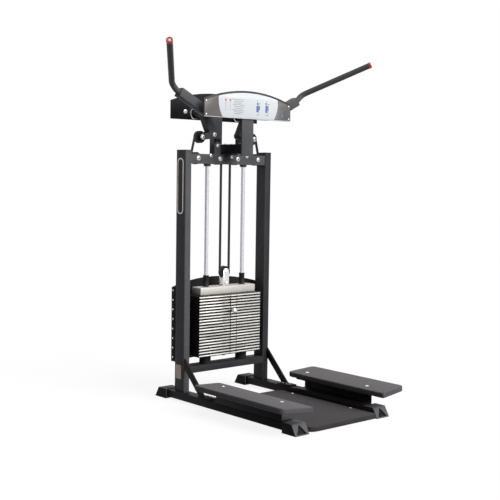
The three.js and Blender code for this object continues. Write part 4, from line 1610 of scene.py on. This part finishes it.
@dataclass
class Stack:
    """Weight plates, top plate, guide rods and what rides with them.

    Attributes:
        rod_x: Distance of the rods from the middle.
        rod_parts: Rods, sleeves and bumpers.
        plate_edge: Rounding of the plates' edges.
        plate_width: Width of the plates.
        plate_depth: Depth of the plates from front to back.
        plate_pitch: Distance from plate to plate.
        plate_bottom: Height of the lowest plate's underside.
        resting: Number of plates that stay down.
        lifted: Number of plates over the pin.
        hole_x: Half the width of the strip that holds the pin holes.
        hole_area: Least area of a face there that isn't a hole's wall.
        band: Height of the band of painted shade along each long edge of a plate, where the gaps
            between plates show.
        band_corner: Radius of the band's corners.
        label_x: Middle of the labels.
        label: Width, height and corner radius of a label.
        label_proud: Thickness of a label.
        tick_x: Middle of the ticks.
        tick: Width, height and corner radius of a tick.
        knob: Radius and place of the rings of the pin's knob and collar.
        bar: Radius of the pin's last rings and their distance from its end.
        pin_sides: Facets round the pin.
    """

    rod_x: float = 0.1265
    rod_parts: tuple[RodPart, ...] = (
        RodPart(
            "guide_rod", "bar", CHROME, Body.FRAME, ((0.010, 0.0), (0.011, 0.001)),
            ((0.011, 0.001), (0.010, 0.0)), bored=False,
        ),
        RodPart(
            "rod_sleeve", "tube", NYLON, Body.STACK,
            ((0.0113, 0.0), (0.016, 0.0), (0.016, 0.006), (0.0152, 0.0072)),
            (
                (0.0152, 0.010), (0.016, 0.0088), (0.016, 0.0012), (0.0148, 0.0),
                (0.0125, 0.0), (0.0113, 0.0012),
            ),
        ),
        RodPart(
            "bumper", "rubber", RUBBER_AND_FOOT_SHADE, Body.FRAME,
            ((0.0113, 0.0), (0.033, 0.0), (0.033, 0.004), (0.0315, 0.006), (0.031, 0.018)),
            ((0.031, 0.018), (0.032, 0.006), (0.0325, 0.003), (0.030, 0.0), (0.0113, 0.0)),
        ),
    )
    plate_edge: float = 0.0005
    plate_width: float = 0.428
    plate_depth: float = 0.118
    plate_pitch: float = 0.01565
    plate_bottom: float = 0.2278
    resting: int = 15
    lifted: int = 6
    hole_x: float = 0.012
    hole_area: float = 0.001
    band: float = 0.0046
    band_corner: float = 0.0004
    label_x: float = -0.045
    label: tuple[float, float, float] = (0.022, 0.0066, 0.0012)
    label_proud: float = 0.0003
    tick_x: float = 0.044
    tick: tuple[float, float, float] = (0.0030, 0.0110, 0.0010)
    knob: Rings = (
        (0.0066, 0.0), (0.0098, 0.0006), (0.0118, 0.0022), (0.0126, 0.0045),
        (0.0126, 0.0140), (0.0118, 0.0165), (0.0096, 0.0185), (0.0064, 0.0200),
        (0.0058, 0.0240), (0.0042, 0.0250),
    )
    bar: Rings = ((0.0040, 0.002), (0.0026, 0.0))
    pin_sides: int = 40

    def build(self) -> None:
        """Builds the stack."""
        self.plates()
        for node, finish in (("top_plate", TOP_STEEL), ("pulley_bracket", BRACKET_STEEL)):
            Carried(node, finish, Body.STACK).build()
        for side in Side:
            for part in self.rod_parts:
                part.build(side, side.value * self.rod_x)
        self.pin()
        self.marks()

    def plates(self) -> None:
        """Builds the weight plates, the lifted ones all from one model."""
        plate = Carried("weight_plates_resting", PLATE_STEEL, rounding=self.plate_edge).build()
        # The plates' sides, bevels, tops and bottoms get painted shade.
        two_toned(plate, PLATE_SHADE_AND_TICKS, self.has_painted_shade)
        model = from_node("weight_plate_1", "weight_plate_model")
        bevelled(model, self.plate_edge)
        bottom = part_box("weight_plate_1")[0].z
        for node in (f"weight_plate_{count}" for count in range(1, self.lifted + 1)):
            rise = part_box(node)[0].z - bottom
            plate = copied(model, f"{node}_skin", (0.0, 0.0, rise))
            placed(plate, PLATE_STEEL, Body.STACK, node)
            two_toned(plate, PLATE_SHADE_AND_TICKS, self.has_painted_shade)
        bpy.data.objects.remove(model)

    def has_painted_shade(self, face: Face) -> bool:
        """Says whether a plate's face is neither its front or back nor a pin hole's wall, and so
        gets painted shade.
        """
        hole = abs(face.center.x) < self.hole_x and face.area < self.hole_area
        return abs(face.normal.y) < SQUARE and not hole

    def pin(self) -> None:
        """Builds the selector pin with its knob and its collar."""
        low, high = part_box("selector_pin")
        profile = [*self.knob, *((r, high.y - low.y - back) for r, back in self.bar)]
        centre = (0.0, low.y, (low.z + high.z) / 2)
        pin = turned("selector_pin_bar", profile, centre, sides=self.pin_sides)
        placed(pin, BOLT_STEEL, Body.SELECTOR, "selector_pin")

    def marks(self) -> None:
        """Builds a bare label, a dark tick and two bands of painted shade on the front of each
        plate.
        """
        front = BELT_Y - self.plate_depth / 2
        from_middle = (self.plate_pitch - self.band) / 2
        band = (self.plate_width, self.band, self.band_corner)
        for word, counts, body in (
            ("resting", range(self.resting), Body.FRAME),
            ("lifted", range(self.resting, self.resting + self.lifted), Body.STACK),
        ):
            labels, darks = [], []
            for count in counts:
                z = self.plate_bottom + self.plate_pitch * (count + 0.5)
                labels.append(Tile(self.label_x, z, *self.label))
                # Bands of painted shade along the gaps between the plates.
                darks += [Tile(0.0, z + sign * from_middle, *band) for sign in (-1, 1)]
                darks.append(Tile(self.tick_x, z, *self.tick))
            placed(printed(f"plate_ticks_{word}", darks, front), PLATE_SHADE_AND_TICKS, body)
            pale = printed(f"plate_labels_{word}", labels, front, self.label_proud)
            placed(pale, PALE_LABEL_AND_HIGHLIGHT, body)


# Feet, arms and head


@dataclass
class Feet:
    """Moulded end caps of the runners, with a three-cornered pocket in each sloped end.

    Attributes:
        edge: Rounding of the caps' edges.
        rim: Width of the rim above and below a pocket.
        share: Width of a pocket as a share of the face inside the rim.
        wall: Slope of a pocket's walls.
        pocket: Depth of a pocket.
        slope_area: Least area of the sloped end before the pocket is made.
        turn: Least part of the normal of a side face sideways, and of a sloped one outward.
        rise: Least part of the normal of a sloped face upward.
        floor_turn: Least likeness of the normals of a pocket's floor and its mouth.
    """

    edge: float = 0.0025
    rim: float = 0.0060
    share: float = 0.84
    wall: float = 0.0025
    pocket: float = 0.012
    slope_area: float = 0.001
    turn: float = 0.6
    rise: float = 0.2
    floor_turn: float = 0.9

    def build(self) -> None:
        """Builds the four feet."""
        for side in Side:
            for end, sign in (("front", -1.0), ("rear", 1.0)):
                node = f"foot_{end}_{side.word}"
                foot = from_node(node, f"{node}_cap")
                mouth = self.hollow(foot, sign)
                bevelled(foot, self.edge, 3, 35.0)
                placed(foot, LIT_FOOT_RUBBER, Body.FRAME, node)
                # The feet are one rubber: black on the sides and pocket floors as painted shade,
                # the paler copy elsewhere as painted light.
                two_toned(foot, RUBBER_AND_FOOT_SHADE, lambda face: self.is_painted_shade(face, *mouth))

    def is_painted_shade(self, face: Face, middle: Vector, normal: Vector) -> bool:
        """Says whether a face gets the black rubber as painted shade.

        Args:
            face: Face of the foot.
            middle: Middle of the pocket's mouth.
            normal: Normal of the mouth.

        Returns:
            True if it turns to the side or is the pocket's floor.
        """
        deep = (face.center - middle).dot(normal) < -self.pocket / 2
        floor = deep and face.normal.dot(normal) > self.floor_turn
        return abs(face.normal.x) > self.turn or floor

    def hollow(self, foot: Piece, sign: float) -> tuple[Vector, Vector]:
        """Sinks the pocket into a foot's sloped end.

        Args:
            foot: The foot, not yet placed.
            sign: -1 for a front foot, 1 for a rear one.

        Returns:
            Middle and normal of the pocket's mouth.
        """

        def is_slope(face: Face) -> bool:
            """Says whether a face lies in the sloped end."""
            return sign * face.normal.y > self.turn and face.normal.z > self.rise

        select_faces(foot, lambda face: is_slope(face) and face.area > self.slope_area)
        bpy.ops.mesh.inset(thickness=self.rim, depth=0.0)
        leave()
        inner = next(face for face in foot.data.polygons if face.select)
        middle, normal, corners = inner.center.copy(), inner.normal.copy(), list(inner.vertices)
        upper = sorted(corners, key=lambda i: foot.data.vertices[i].co.z)[-2:]
        select_points(foot, corners)
        bpy.ops.transform.resize(value=(self.share, 1.0, 1.0), center_override=middle)
        leave()
        select_points(foot, upper)
        bpy.ops.mesh.merge(type="CENTER")
        leave()
        triangles = [
            face for face in foot.data.polygons if is_slope(face) and len(face.vertices) == 3
        ]
        lowest = min(triangles, key=lambda face: face.center.z).index
        select_faces(foot, lambda face: face.index == lowest)
        bpy.ops.mesh.inset(thickness=self.wall, depth=-self.pocket)
        leave()
        return middle, normal


@dataclass
class Handles:
    """Bent handle tubes and the red ring caps at their ends.

    Attributes:
        radius: Radius of the tube.
        section: Fineness of the tube's section.
        back: Length of tube inside the boom.
        mouth: Straight length past the boom.
        mouth_bend: Set-back of the bend at the boom.
        elbow_bend: Set-back of the elbow.
        bend_steps: Parts of a bend.
        boom_angle: Slope of the boom.
        boom_end: X and Z of the boom's end from the pivot.
        boom_y: Depth of the boom from the uprights' front face.
        elbow: X and Z of the elbow from the pivot.
        tip: Far end: X from the pivot, depth from the uprights' front face, Z from the pivot.
        cap_length: Length of the cap.
        cap_lap: Length of tube inside the cap.
        cap: Radius and place of the cap's rings, from its seat on the tube.
        plug: Radius and place of the rings of the plug in the cap.
        plug_sides: Facets round the plug.
    """

    radius: float = 0.0155
    section: int = 14
    back: float = 0.058
    mouth: float = 0.014
    mouth_bend: float = 0.012
    elbow_bend: float = 0.028
    bend_steps: int = 12
    boom_angle: float = math.radians(27)
    boom_end: Pair = (0.257, 0.0887)
    boom_y: float = -0.077
    elbow: Pair = (0.300, 0.126)
    tip: tuple[float, float, float] = (0.539, -0.3787, 0.2924)
    cap_length: float = 0.016
    cap_lap: float = 0.001
    cap: Rings = (
        (0.0085, 0.0), (0.0165, 0.0), (0.0165, 0.0120), (0.0159, 0.0144), (0.0145, 0.0157),
        (0.0131, 0.0160), (0.0101, 0.0160), (0.0089, 0.0156), (0.0085, 0.0146),
    )
    plug: Rings = (
        (0.0085, 0.0), (0.0085, 0.0116), (0.0072, 0.0134), (0.0052, 0.0144), (0.0026, 0.0148),
    )
    plug_sides: int = 32

    def point(self, side: Side, x: float, y: float, z: float) -> Vector:
        """Gives a point of the arm in the frame.

        Args:
            side: Side of the machine.
            x: Distance outward from the pivot.
            y: Depth from the uprights' front face.
            z: Height over the pivot.

        Returns:
            The point.
        """
        return Vector((side.value * (PIVOT_X + x), depth(y), PIVOT_Z + z))

    def route(self, side: Side) -> list[Vector]:
        """Lists the corners of the tube's centre line.

        Args:
            side: Side of the machine.

        Returns:
            Inner end, mouth, elbow and tip.
        """
        x, z = self.boom_end
        dx, dz = math.cos(self.boom_angle), math.sin(self.boom_angle)
        inner, mouth = (
            self.point(side, x + dx * run, self.boom_y, z + dz * run)
            for run in (-self.back, self.mouth)
        )
        elbow = self.point(side, self.elbow[0], self.boom_y, self.elbow[1])
        return [inner, mouth, elbow, self.point(side, *self.tip)]

    def rounded(self, corners: Sequence[Vector], setbacks: Sequence[float]) -> list[Vector]:
        """Rounds the corners of a route.

        Args:
            corners: Corners of the route.
            setbacks: Distance from each inner corner at which its bend begins.

        Returns:
            Points of the rounded route.
        """
        points = [corners[0]]
        for before, corner, after, setback in zip(corners, corners[1:], corners[2:], setbacks):
            start = corner + (before - corner).normalized() * setback
            end = corner + (after - corner).normalized() * setback
            for t in even(0.0, 1.0, self.bend_steps):
                points.append(start * (1 - t) ** 2 + corner * 2 * t * (1 - t) + end * t ** 2)
        points.append(corners[-1])
        return points

    def build(self) -> None:
        """Builds tube, cap and end plug of both arms."""
        for side in Side:
            inner, mouth, elbow, tip = self.route(side)
            run = (tip - elbow).normalized()
            seat = tip - run * self.cap_length
            corners = (inner, mouth, elbow, seat + run * self.cap_lap)
            points = self.rounded(corners, (self.mouth_bend, self.elbow_bend))
            tube = along(f"handle_tube_{side.word}_bar", points, self.radius, self.section)
            placed(tube, CHARCOAL, side.arm, f"handle_tube_{side.word}")
            cap = turned(f"handle_cap_{side.word}_ring", self.cap, seat, run, bored=True)
            placed(cap, RED, side.arm, f"handle_cap_{side.word}")
            plug = turned(f"handle_plug_{side.word}", self.plug, seat, run, self.plug_sides)
            placed(plug, PALE_LABEL_AND_HIGHLIGHT, side.arm)


@dataclass
class Head:
    """Printed face of the front panel, its screws, and rings on the arm bearings.

    Attributes:
        half_width: Half the width of the panel.
        bottom: Height of its lower edge.
        side_top: Height of its upper edge at the sides.
        crown: Height of its upper edge in the middle.
        rim: Bare rim above the print.
        sill: Bare rim below the print.
        margin: Bare rim at the print's ends.
        gap: Gap between the white and the taupe zones.
        proud: Height of the print over the panel.
        thickness: Thickness of the print, partly sunk.
        zone_top: Half the width of the white zone at its top.
        zone_bottom: Half the width of the white zone at its bottom.
        zone_bow: Bow of the zones' boundary.
        border_steps: Parts of the boundary.
        crest_steps: Parts of the white zone's upper edge.
        end_steps: Parts of a taupe zone's upper edge.
        lip: Pale strip along the lower edge, a painted highlight of the panel's bottom edge.
        screw_x: Distance of the screws from the middle.
        screw_low: Distance of the lower screws from the lower edge.
        screw_high: Distance of the upper screws from the upper edge.
        screw: Radius and height of a screw's head.
        screw_sides: Facets round a screw.
        ring: Radius and place of the rings of a bearing ring.
        ring_in: Distance of the front rings behind the panel's face.
        ring_bright: Radius past which a bearing ring is bare steel.
        ring_sides: Facets round a bearing ring.
    """

    half_width: float = 0.300
    bottom: float = 1.494
    side_top: float = 1.586
    crown: float = 1.640
    rim: float = 0.011
    sill: float = 0.004
    margin: float = 0.003
    gap: float = 0.0006
    proud: float = 0.0006
    thickness: float = 0.0008
    zone_top: float = 0.206
    zone_bottom: float = 0.176
    zone_bow: float = 0.030
    border_steps: int = 12
    crest_steps: int = 32
    end_steps: int = 10
    lip: Tile = Tile(0.0, 1.4962, 0.598, 0.0030, 0.0010)
    screw_x: float = 0.286
    screw_low: float = 0.013
    screw_high: float = 0.016
    screw: Pair = (0.0042, 0.0026)
    screw_sides: int = 20
    ring: Rings = (
        (0.0158, -0.0130), (0.0294, -0.0130), (0.0294, -0.0018), (0.0279, 0.0004),
        (0.0198, 0.0004), (0.0188, -0.0006), (0.0158, -0.0010),
    )
    ring_in: float = 0.018
    ring_bright: float = 0.028
    ring_sides: int = 56

    @property
    def front(self) -> float:
        """Y of the panel's front face."""
        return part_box("head_front_panel")[0].y

    def top(self, x: float) -> float:
        """Gives the height of the panel's arched upper edge.

        Args:
            x: Place across the panel.

        Returns:
            The height.
        """
        rise = self.crown - self.side_top
        radius = (self.half_width ** 2 + rise ** 2) / (2 * rise)
        return self.crown - radius + math.sqrt(radius ** 2 - x ** 2)

    def crest(self, start: float, end: float, steps: int) -> list[Pair]:
        """Lists points along the print's arched upper edge.

        Args:
            start: X of the first point.
            end: X of the last point.
            steps: Number of steps.

        Returns:
            X and Z of each point.
        """
        return [(x, self.top(x) - self.rim) for x in even(start, end, steps)]

    def border(self, low: float) -> list[Pair]:
        """Lists the right boundary between white and taupe, from below.

        Args:
            low: Height of its lower end.

        Returns:
            X and Z of each point.
        """
        points = []
        for z in even(low, self.top(self.zone_top) - self.rim, self.border_steps):
            share = (z - self.bottom) / (self.side_top - self.bottom)
            x = self.zone_bottom + (self.zone_top - self.zone_bottom) * share
            points.append((x + self.zone_bow * share * (1.0 - share), z))
        return points

    def build(self) -> None:
        """Builds the printed zones, the marks on them, screws and rings."""
        low, front = self.bottom + self.sill, self.front - self.proud
        border, outer = self.border(low), self.half_width - self.margin
        span = border[-1][0]
        left = [(-x, z) for x, z in reversed(border)]
        white = border + self.crest(span, -span, self.crest_steps)[1:-1] + left
        zone = [(x + self.gap, z) for x, z in border]
        zone += self.crest(span + self.gap, outer, self.end_steps)[1:] + [(outer, low)]
        mirrored = [(-x, z) for x, z in reversed(zone)]
        for name, outline, finish in (
            ("sign_white_zone", white, SIGN_WHITE), ("sign_end_right", zone, SIGN_TAUPE),
            # The pale lip is a painted highlight of the panel's bottom edge.
            ("sign_end_left", mirrored, SIGN_TAUPE), ("sign_lip_highlight", self.lip.outline(), PALE_LABEL_AND_HIGHLIGHT),
        ):
            placed(outlined(name, outline, front, self.thickness), finish, Body.FRAME)
        SignMarks().build(front)
        across = (-self.screw_x, self.screw_x)
        heights = (self.bottom + self.screw_low, self.top(self.screw_x) - self.screw_high)
        spots = [(x, front, z) for x in across for z in heights]
        BoltMaker(sides=self.screw_sides).build([BoltRow("sign_screws", spots, *self.screw)])
        for side in Side:
            self.bearing("front", side, self.front + self.ring_in, Way.REAR)
            self.bearing("rear", side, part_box("head_rear_panel")[0].y, Way.FRONT)

    def bearing(self, end: str, side: Side, y: float, way: Way) -> None:
        """Builds a steel ring where a shaft enters its bearing.

        Args:
            end: Front or rear, for its name.
            side: Side of the machine.
            y: Y of its seat.
            way: Direction that it points along.
        """
        x = side.value * PIVOT_X
        axis = Vector((x, PIVOT_Z))
        name = f"bearing_ring_{end}_{side.word}"
        ring = turned(name, self.ring, (x, y, PIVOT_Z), way.value, self.ring_sides, True)
        placed(ring, BLACK_COAT, Body.FRAME)
        two_toned(
            ring, BOLT_STEEL, lambda face: (face.center.xz - axis).length > self.ring_bright
        )


@dataclass
class SignMarks:
    """Plain printed marks of the sign: bars, dots and blocks.

    Attributes:
        line_x: Middle of the long bars.
        line_top: Height of the uppermost one.
        line_pitch: Distance from one to the next.
        line_count: Number of long bars.
        line_width: Width of the longest.
        line_cut: How much shorter the second and third of three are.
        line_shift: How far every second one lies to the right.
        indent_row: Number of the bar that begins a new group.
        indent: How far that bar lies to the right.
        bar: Height and corner radius of all bars.
        columns: Middles of the narrow columns.
        column: Height and width of each bar in a column.
        stands: Middles of the two outlined stands.
        stand: Bars of a stand.
        dots: Round marks over the first two columns.
        blues: Blue blocks.
        darks: Dark blocks.
    """

    line_x: float = -0.075
    line_top: float = 1.592
    line_pitch: float = 0.0092
    line_count: int = 9
    line_width: float = 0.080
    line_cut: float = 0.016
    line_shift: float = 0.004
    indent_row: int = 4
    indent: float = 0.010
    bar: Pair = (0.003, 0.001)
    columns: tuple[float, ...] = (-0.158, -0.128, -0.100)
    column: Rings = (
        (1.573, 0.010), (1.564, 0.008), (1.555, 0.010), (1.546, 0.006), (1.537, 0.008),
    )
    stands: Pair = (0.062, 0.128)
    stand: tuple[Tile, ...] = (
        Tile(0.0, 1.519, 0.024, 0.003, 0.001), Tile(0.006, 1.552, 0.003, 0.060, 0.001),
        Tile(0.012, 1.578, 0.014, 0.003, 0.001), Tile(-0.004, 1.592, 0.006, 0.006, 0.001),
    )
    dots: tuple[Tile, ...] = (
        Tile(-0.158, 1.586, 0.012, 0.012, 0.0055), Tile(-0.128, 1.586, 0.012, 0.012, 0.0055),
    )
    blues: tuple[Tile, ...] = (
        Tile(0.059, 1.550, 0.015, 0.034, 0.002), Tile(0.122, 1.552, 0.013, 0.038, 0.002),
        Tile(0.238, 1.522, 0.013, 0.020, 0.002), Tile(0.235, 1.545, 0.008, 0.012, 0.002),
    )
    darks: tuple[Tile, ...] = (
        Tile(0.060, 1.577, 0.009, 0.010, 0.002), Tile(0.072, 1.556, 0.006, 0.022, 0.002),
        Tile(0.120, 1.580, 0.009, 0.010, 0.002), Tile(0.134, 1.556, 0.006, 0.026, 0.002),
    )

    def lines(self) -> list[Tile]:
        """Lists the long bars.

        Returns:
            The bars from the top.
        """
        bars = []
        for row in range(self.line_count):
            x = self.line_x + self.line_shift * (row % 2)
            if row == self.indent_row:
                x += self.indent
            z = self.line_top - self.line_pitch * row
            bars.append(Tile(x, z, self.line_width - self.line_cut * (row % 3), *self.bar))
        return bars

    def build(self, face: float) -> None:
        """Builds the marks of each colour as one piece.

        Args:
            face: Y of the print's face.
        """
        greys = self.lines()
        greys += [Tile(x, z, width, *self.bar) for x in self.columns for z, width in self.column]
        greys += [tile.moved(x) for x in self.stands for tile in self.stand]
        for color, tiles, finish in (
            ("grey", greys, SIGN_GREY), ("red", self.dots, SIGN_RED),
            ("blue", self.blues, SIGN_BLUE), ("dark", self.darks, SIGN_DARK),
        ):
            placed(printed(f"sign_{color}_marks", tiles, face), finish, Body.FRAME)


@dataclass(frozen=True)
class BarePlate:
    """A thin bare plate on an upright's outer face.

    Attributes:
        tile: Its shape: middle depth behind the front face, middle height, and size.
        proud: Thickness that shows.
        finish: Its finish.
        sunk: Thickness below the upright's face.
        edge: Rounding of its edges.
    """

    tile: Tile
    proud: float
    finish: Finish
    sunk: float = 0.0004
    edge: float = 0.0002

    def build(self, name: str, side: Side) -> None:
        """Builds and places the plate on one upright.

        Args:
            name: Name of the piece.
            side: Side of the machine.
        """
        thickness = self.proud + self.sunk
        piece = outlined(name, self.tile.outline(), -self.proud, thickness, self.edge)
        piece.rotation_euler = (0.0, 0.0, side.value * math.pi / 2)
        settle(piece)
        piece.scale = (1.0, side.value, 1.0)
        settle(piece)
        piece.location = (side.value * UPRIGHT_SIDE_X, UPRIGHT_FACE_Y, 0.0)
        settle(piece)
        tidy(piece)
        placed(piece, self.finish, Body.FRAME)


@dataclass
class Badges:
    """Bare plates on the uprights.

    Attributes:
        rim: Rim of the long plate.
        face: Face of the long plate, inside its rim.
        rating: Small plate low on the left upright.
    """

    rim: BarePlate = BarePlate(Tile(0.043, 1.1385, 0.050, 0.293, 0.022), 0.0008, BADGE_BEIGE)
    face: BarePlate = BarePlate(Tile(0.043, 1.1385, 0.038, 0.281, 0.018), 0.0014, CHARCOAL)
    rating: BarePlate = BarePlate(Tile(0.046, 0.1545, 0.048, 0.075, 0.002), 0.0008, PLATE_BEIGE)

    def build(self) -> None:
        """Builds the bare plates."""
        for side in Side:
            self.rim.build(f"badge_rim_{side.word}", side)
            self.face.build(f"badge_face_{side.word}", side)
        self.rating.build("rating_plate", Side.LEFT)


# Studio


@dataclass(frozen=True)
class Lamp:
    """A distant lamp with soft shadows.

    Attributes:
        name: Its name.
        way: Direction from the machine to the lamp.
        strength: Its strength.
        degrees: Width of its disc.
    """

    name: str
    way: tuple[float, float, float]
    strength: float
    degrees: float

    def build(self) -> None:
        """Adds the lamp to the scene."""
        data = bpy.data.lights.new(self.name, "SUN")
        data.energy = self.strength
        data.angle = math.radians(self.degrees)
        lamp = linked(self.name, data)
        lamp.rotation_euler = Vector(self.way).to_track_quat("Z", "Y").to_euler()


@dataclass
class Studio:
    """Camera, lamps, pale floor and plain background.

    Attributes:
        sensor: Width of the camera's sensor in millimetres.
        lens: Focal length in millimetres.
        reach: Greatest distance that the camera sees.
        spot: Place of the camera.
        azimuth: Direction that the camera looks in, from +Y towards +X.
        pitch: Tilt of the camera, down negative.
        roll: Roll of the camera.
        floor_size: Width of the floor.
        floor_z: Height of the floor.
        fill: Strength of the world as a light.
        bounce: Paleness of the floor for the light that it throws back.
        shadow: Share of the floor's seen tone that the lamps give.
        glow: Share of it that shows also in shadow.
        lamps: The lamps.
    """

    sensor: float = 36.0
    lens: float = 71.40
    reach: float = 100.0
    spot: tuple[float, float, float] = (-3.4404, -3.76992, 1.19175)
    azimuth: float = math.radians(41.10)
    pitch: float = math.radians(-4.22)
    roll: float = math.radians(0.84)
    floor_size: float = 60.0
    floor_z: float = -0.0005
    fill: float = 0.07
    bounce: float = 0.20
    shadow: float = 0.13
    glow: float = 0.88
    lamps: tuple[Lamp, ...] = (
        Lamp("key_sun", (0.26, -1.0, 0.56), 3.3, 50.0),
        Lamp("top_sun", (0.05, -0.35, 1.0), 1.5, 50.0),
    )

    def camera(self) -> None:
        """Places the camera of the photograph."""
        data = bpy.data.cameras.new("photo_camera")
        data.sensor_width = self.sensor
        data.lens = self.lens
        data.clip_end = self.reach
        camera = linked("photo_camera", data)
        look = Vector((
            math.sin(self.azimuth) * math.cos(self.pitch),
            math.cos(self.azimuth) * math.cos(self.pitch),
            math.sin(self.pitch),
        ))
        right = Vector((math.cos(self.azimuth), -math.sin(self.azimuth), 0.0))
        up = right.cross(look)
        across = right * math.cos(self.roll) + up * math.sin(self.roll)
        above = up * math.cos(self.roll) - right * math.sin(self.roll)
        turn = Matrix((across, above, -look)).transposed()
        camera.matrix_world = Matrix.Translation(self.spot) @ turn.to_4x4()
        bpy.context.scene.camera = camera

    def seen(self, board: NodeBoard) -> Socket:
        """Gives 1 for rays that see the background straight, in gloss or through glass.

        Args:
            board: Nodes of floor or world.

        Returns:
            The output socket.
        """
        path = board.add("ShaderNodeLightPath", {})
        total = path.outputs["Is Camera Ray"]
        for name in ("Is Glossy Ray", "Is Transmission Ray"):
            node = board.add("ShaderNodeMath", {})
            node.operation = "MAXIMUM"
            board.feed(node.inputs[0], total)
            board.feed(node.inputs[1], path.outputs[name])
            total = node.outputs["Value"]
        return total

    def floor(self) -> None:
        """Lays the pale floor, which keeps the machine's shadow."""
        clear_selection()
        bpy.ops.mesh.primitive_plane_add(size=self.floor_size, location=(0.0, 0.0, self.floor_z))
        floor = named("studio_floor")
        settle(floor)
        material = bpy.data.materials.new("studio_floor")
        material.use_nodes = True
        board = NodeBoard(material.node_tree)
        board.tree.nodes.clear()
        thrown, lit = (
            board.add("ShaderNodeBsdfDiffuse", {"Color": (tone, tone, tone, 1.0)})
            for tone in (self.bounce, self.shadow)
        )
        glow = board.add("ShaderNodeEmission", {"Strength": self.glow})
        both = board.add("ShaderNodeAddShader", {})
        board.feed(both.inputs[0], lit.outputs["BSDF"])
        board.feed(both.inputs[1], glow.outputs["Emission"])
        mix = board.add("ShaderNodeMixShader", {"Fac": self.seen(board)})
        board.feed(mix.inputs[1], thrown.outputs["BSDF"])
        board.feed(mix.inputs[2], both.outputs["Shader"])
        board.add("ShaderNodeOutputMaterial", {"Surface": mix.outputs["Shader"]})
        floor.data.materials.append(material)

    def world(self) -> None:
        """Sets the plain background, white where it is seen and softer as a light."""
        world = bpy.data.worlds.new("studio")
        world.use_nodes = True
        bpy.context.scene.world = world
        board = NodeBoard(world.node_tree)
        background = board.tree.nodes["Background"]
        board.feed(background.inputs["Color"], (1.0, 1.0, 1.0, 1.0))
        strength = board.spanned(self.seen(board), (0.0, 1.0), (self.fill, 1.0))
        board.feed(background.inputs["Strength"], strength)

    def build(self) -> None:
        """Sets up the whole studio."""
        bpy.context.scene.view_settings.view_transform = "Standard"
        self.camera()
        self.floor()
        self.world()
        for lamp in self.lamps:
            lamp.build()


def main() -> None:
    """Builds every sub-assembly in order and reports the pieces."""
    logging.basicConfig(level=logging.INFO, format="%(name)s: %(message)s")
    for assembly in (
        Structure(), Feet(), Handles(), Head(), Badges(), Pulleys(), Belts(), Stack(), Fasteners(),
        Studio(),
    ):
        assembly.build()
        LOG.info("%s done", type(assembly).__name__)


if __name__ == "__main__":
    main()
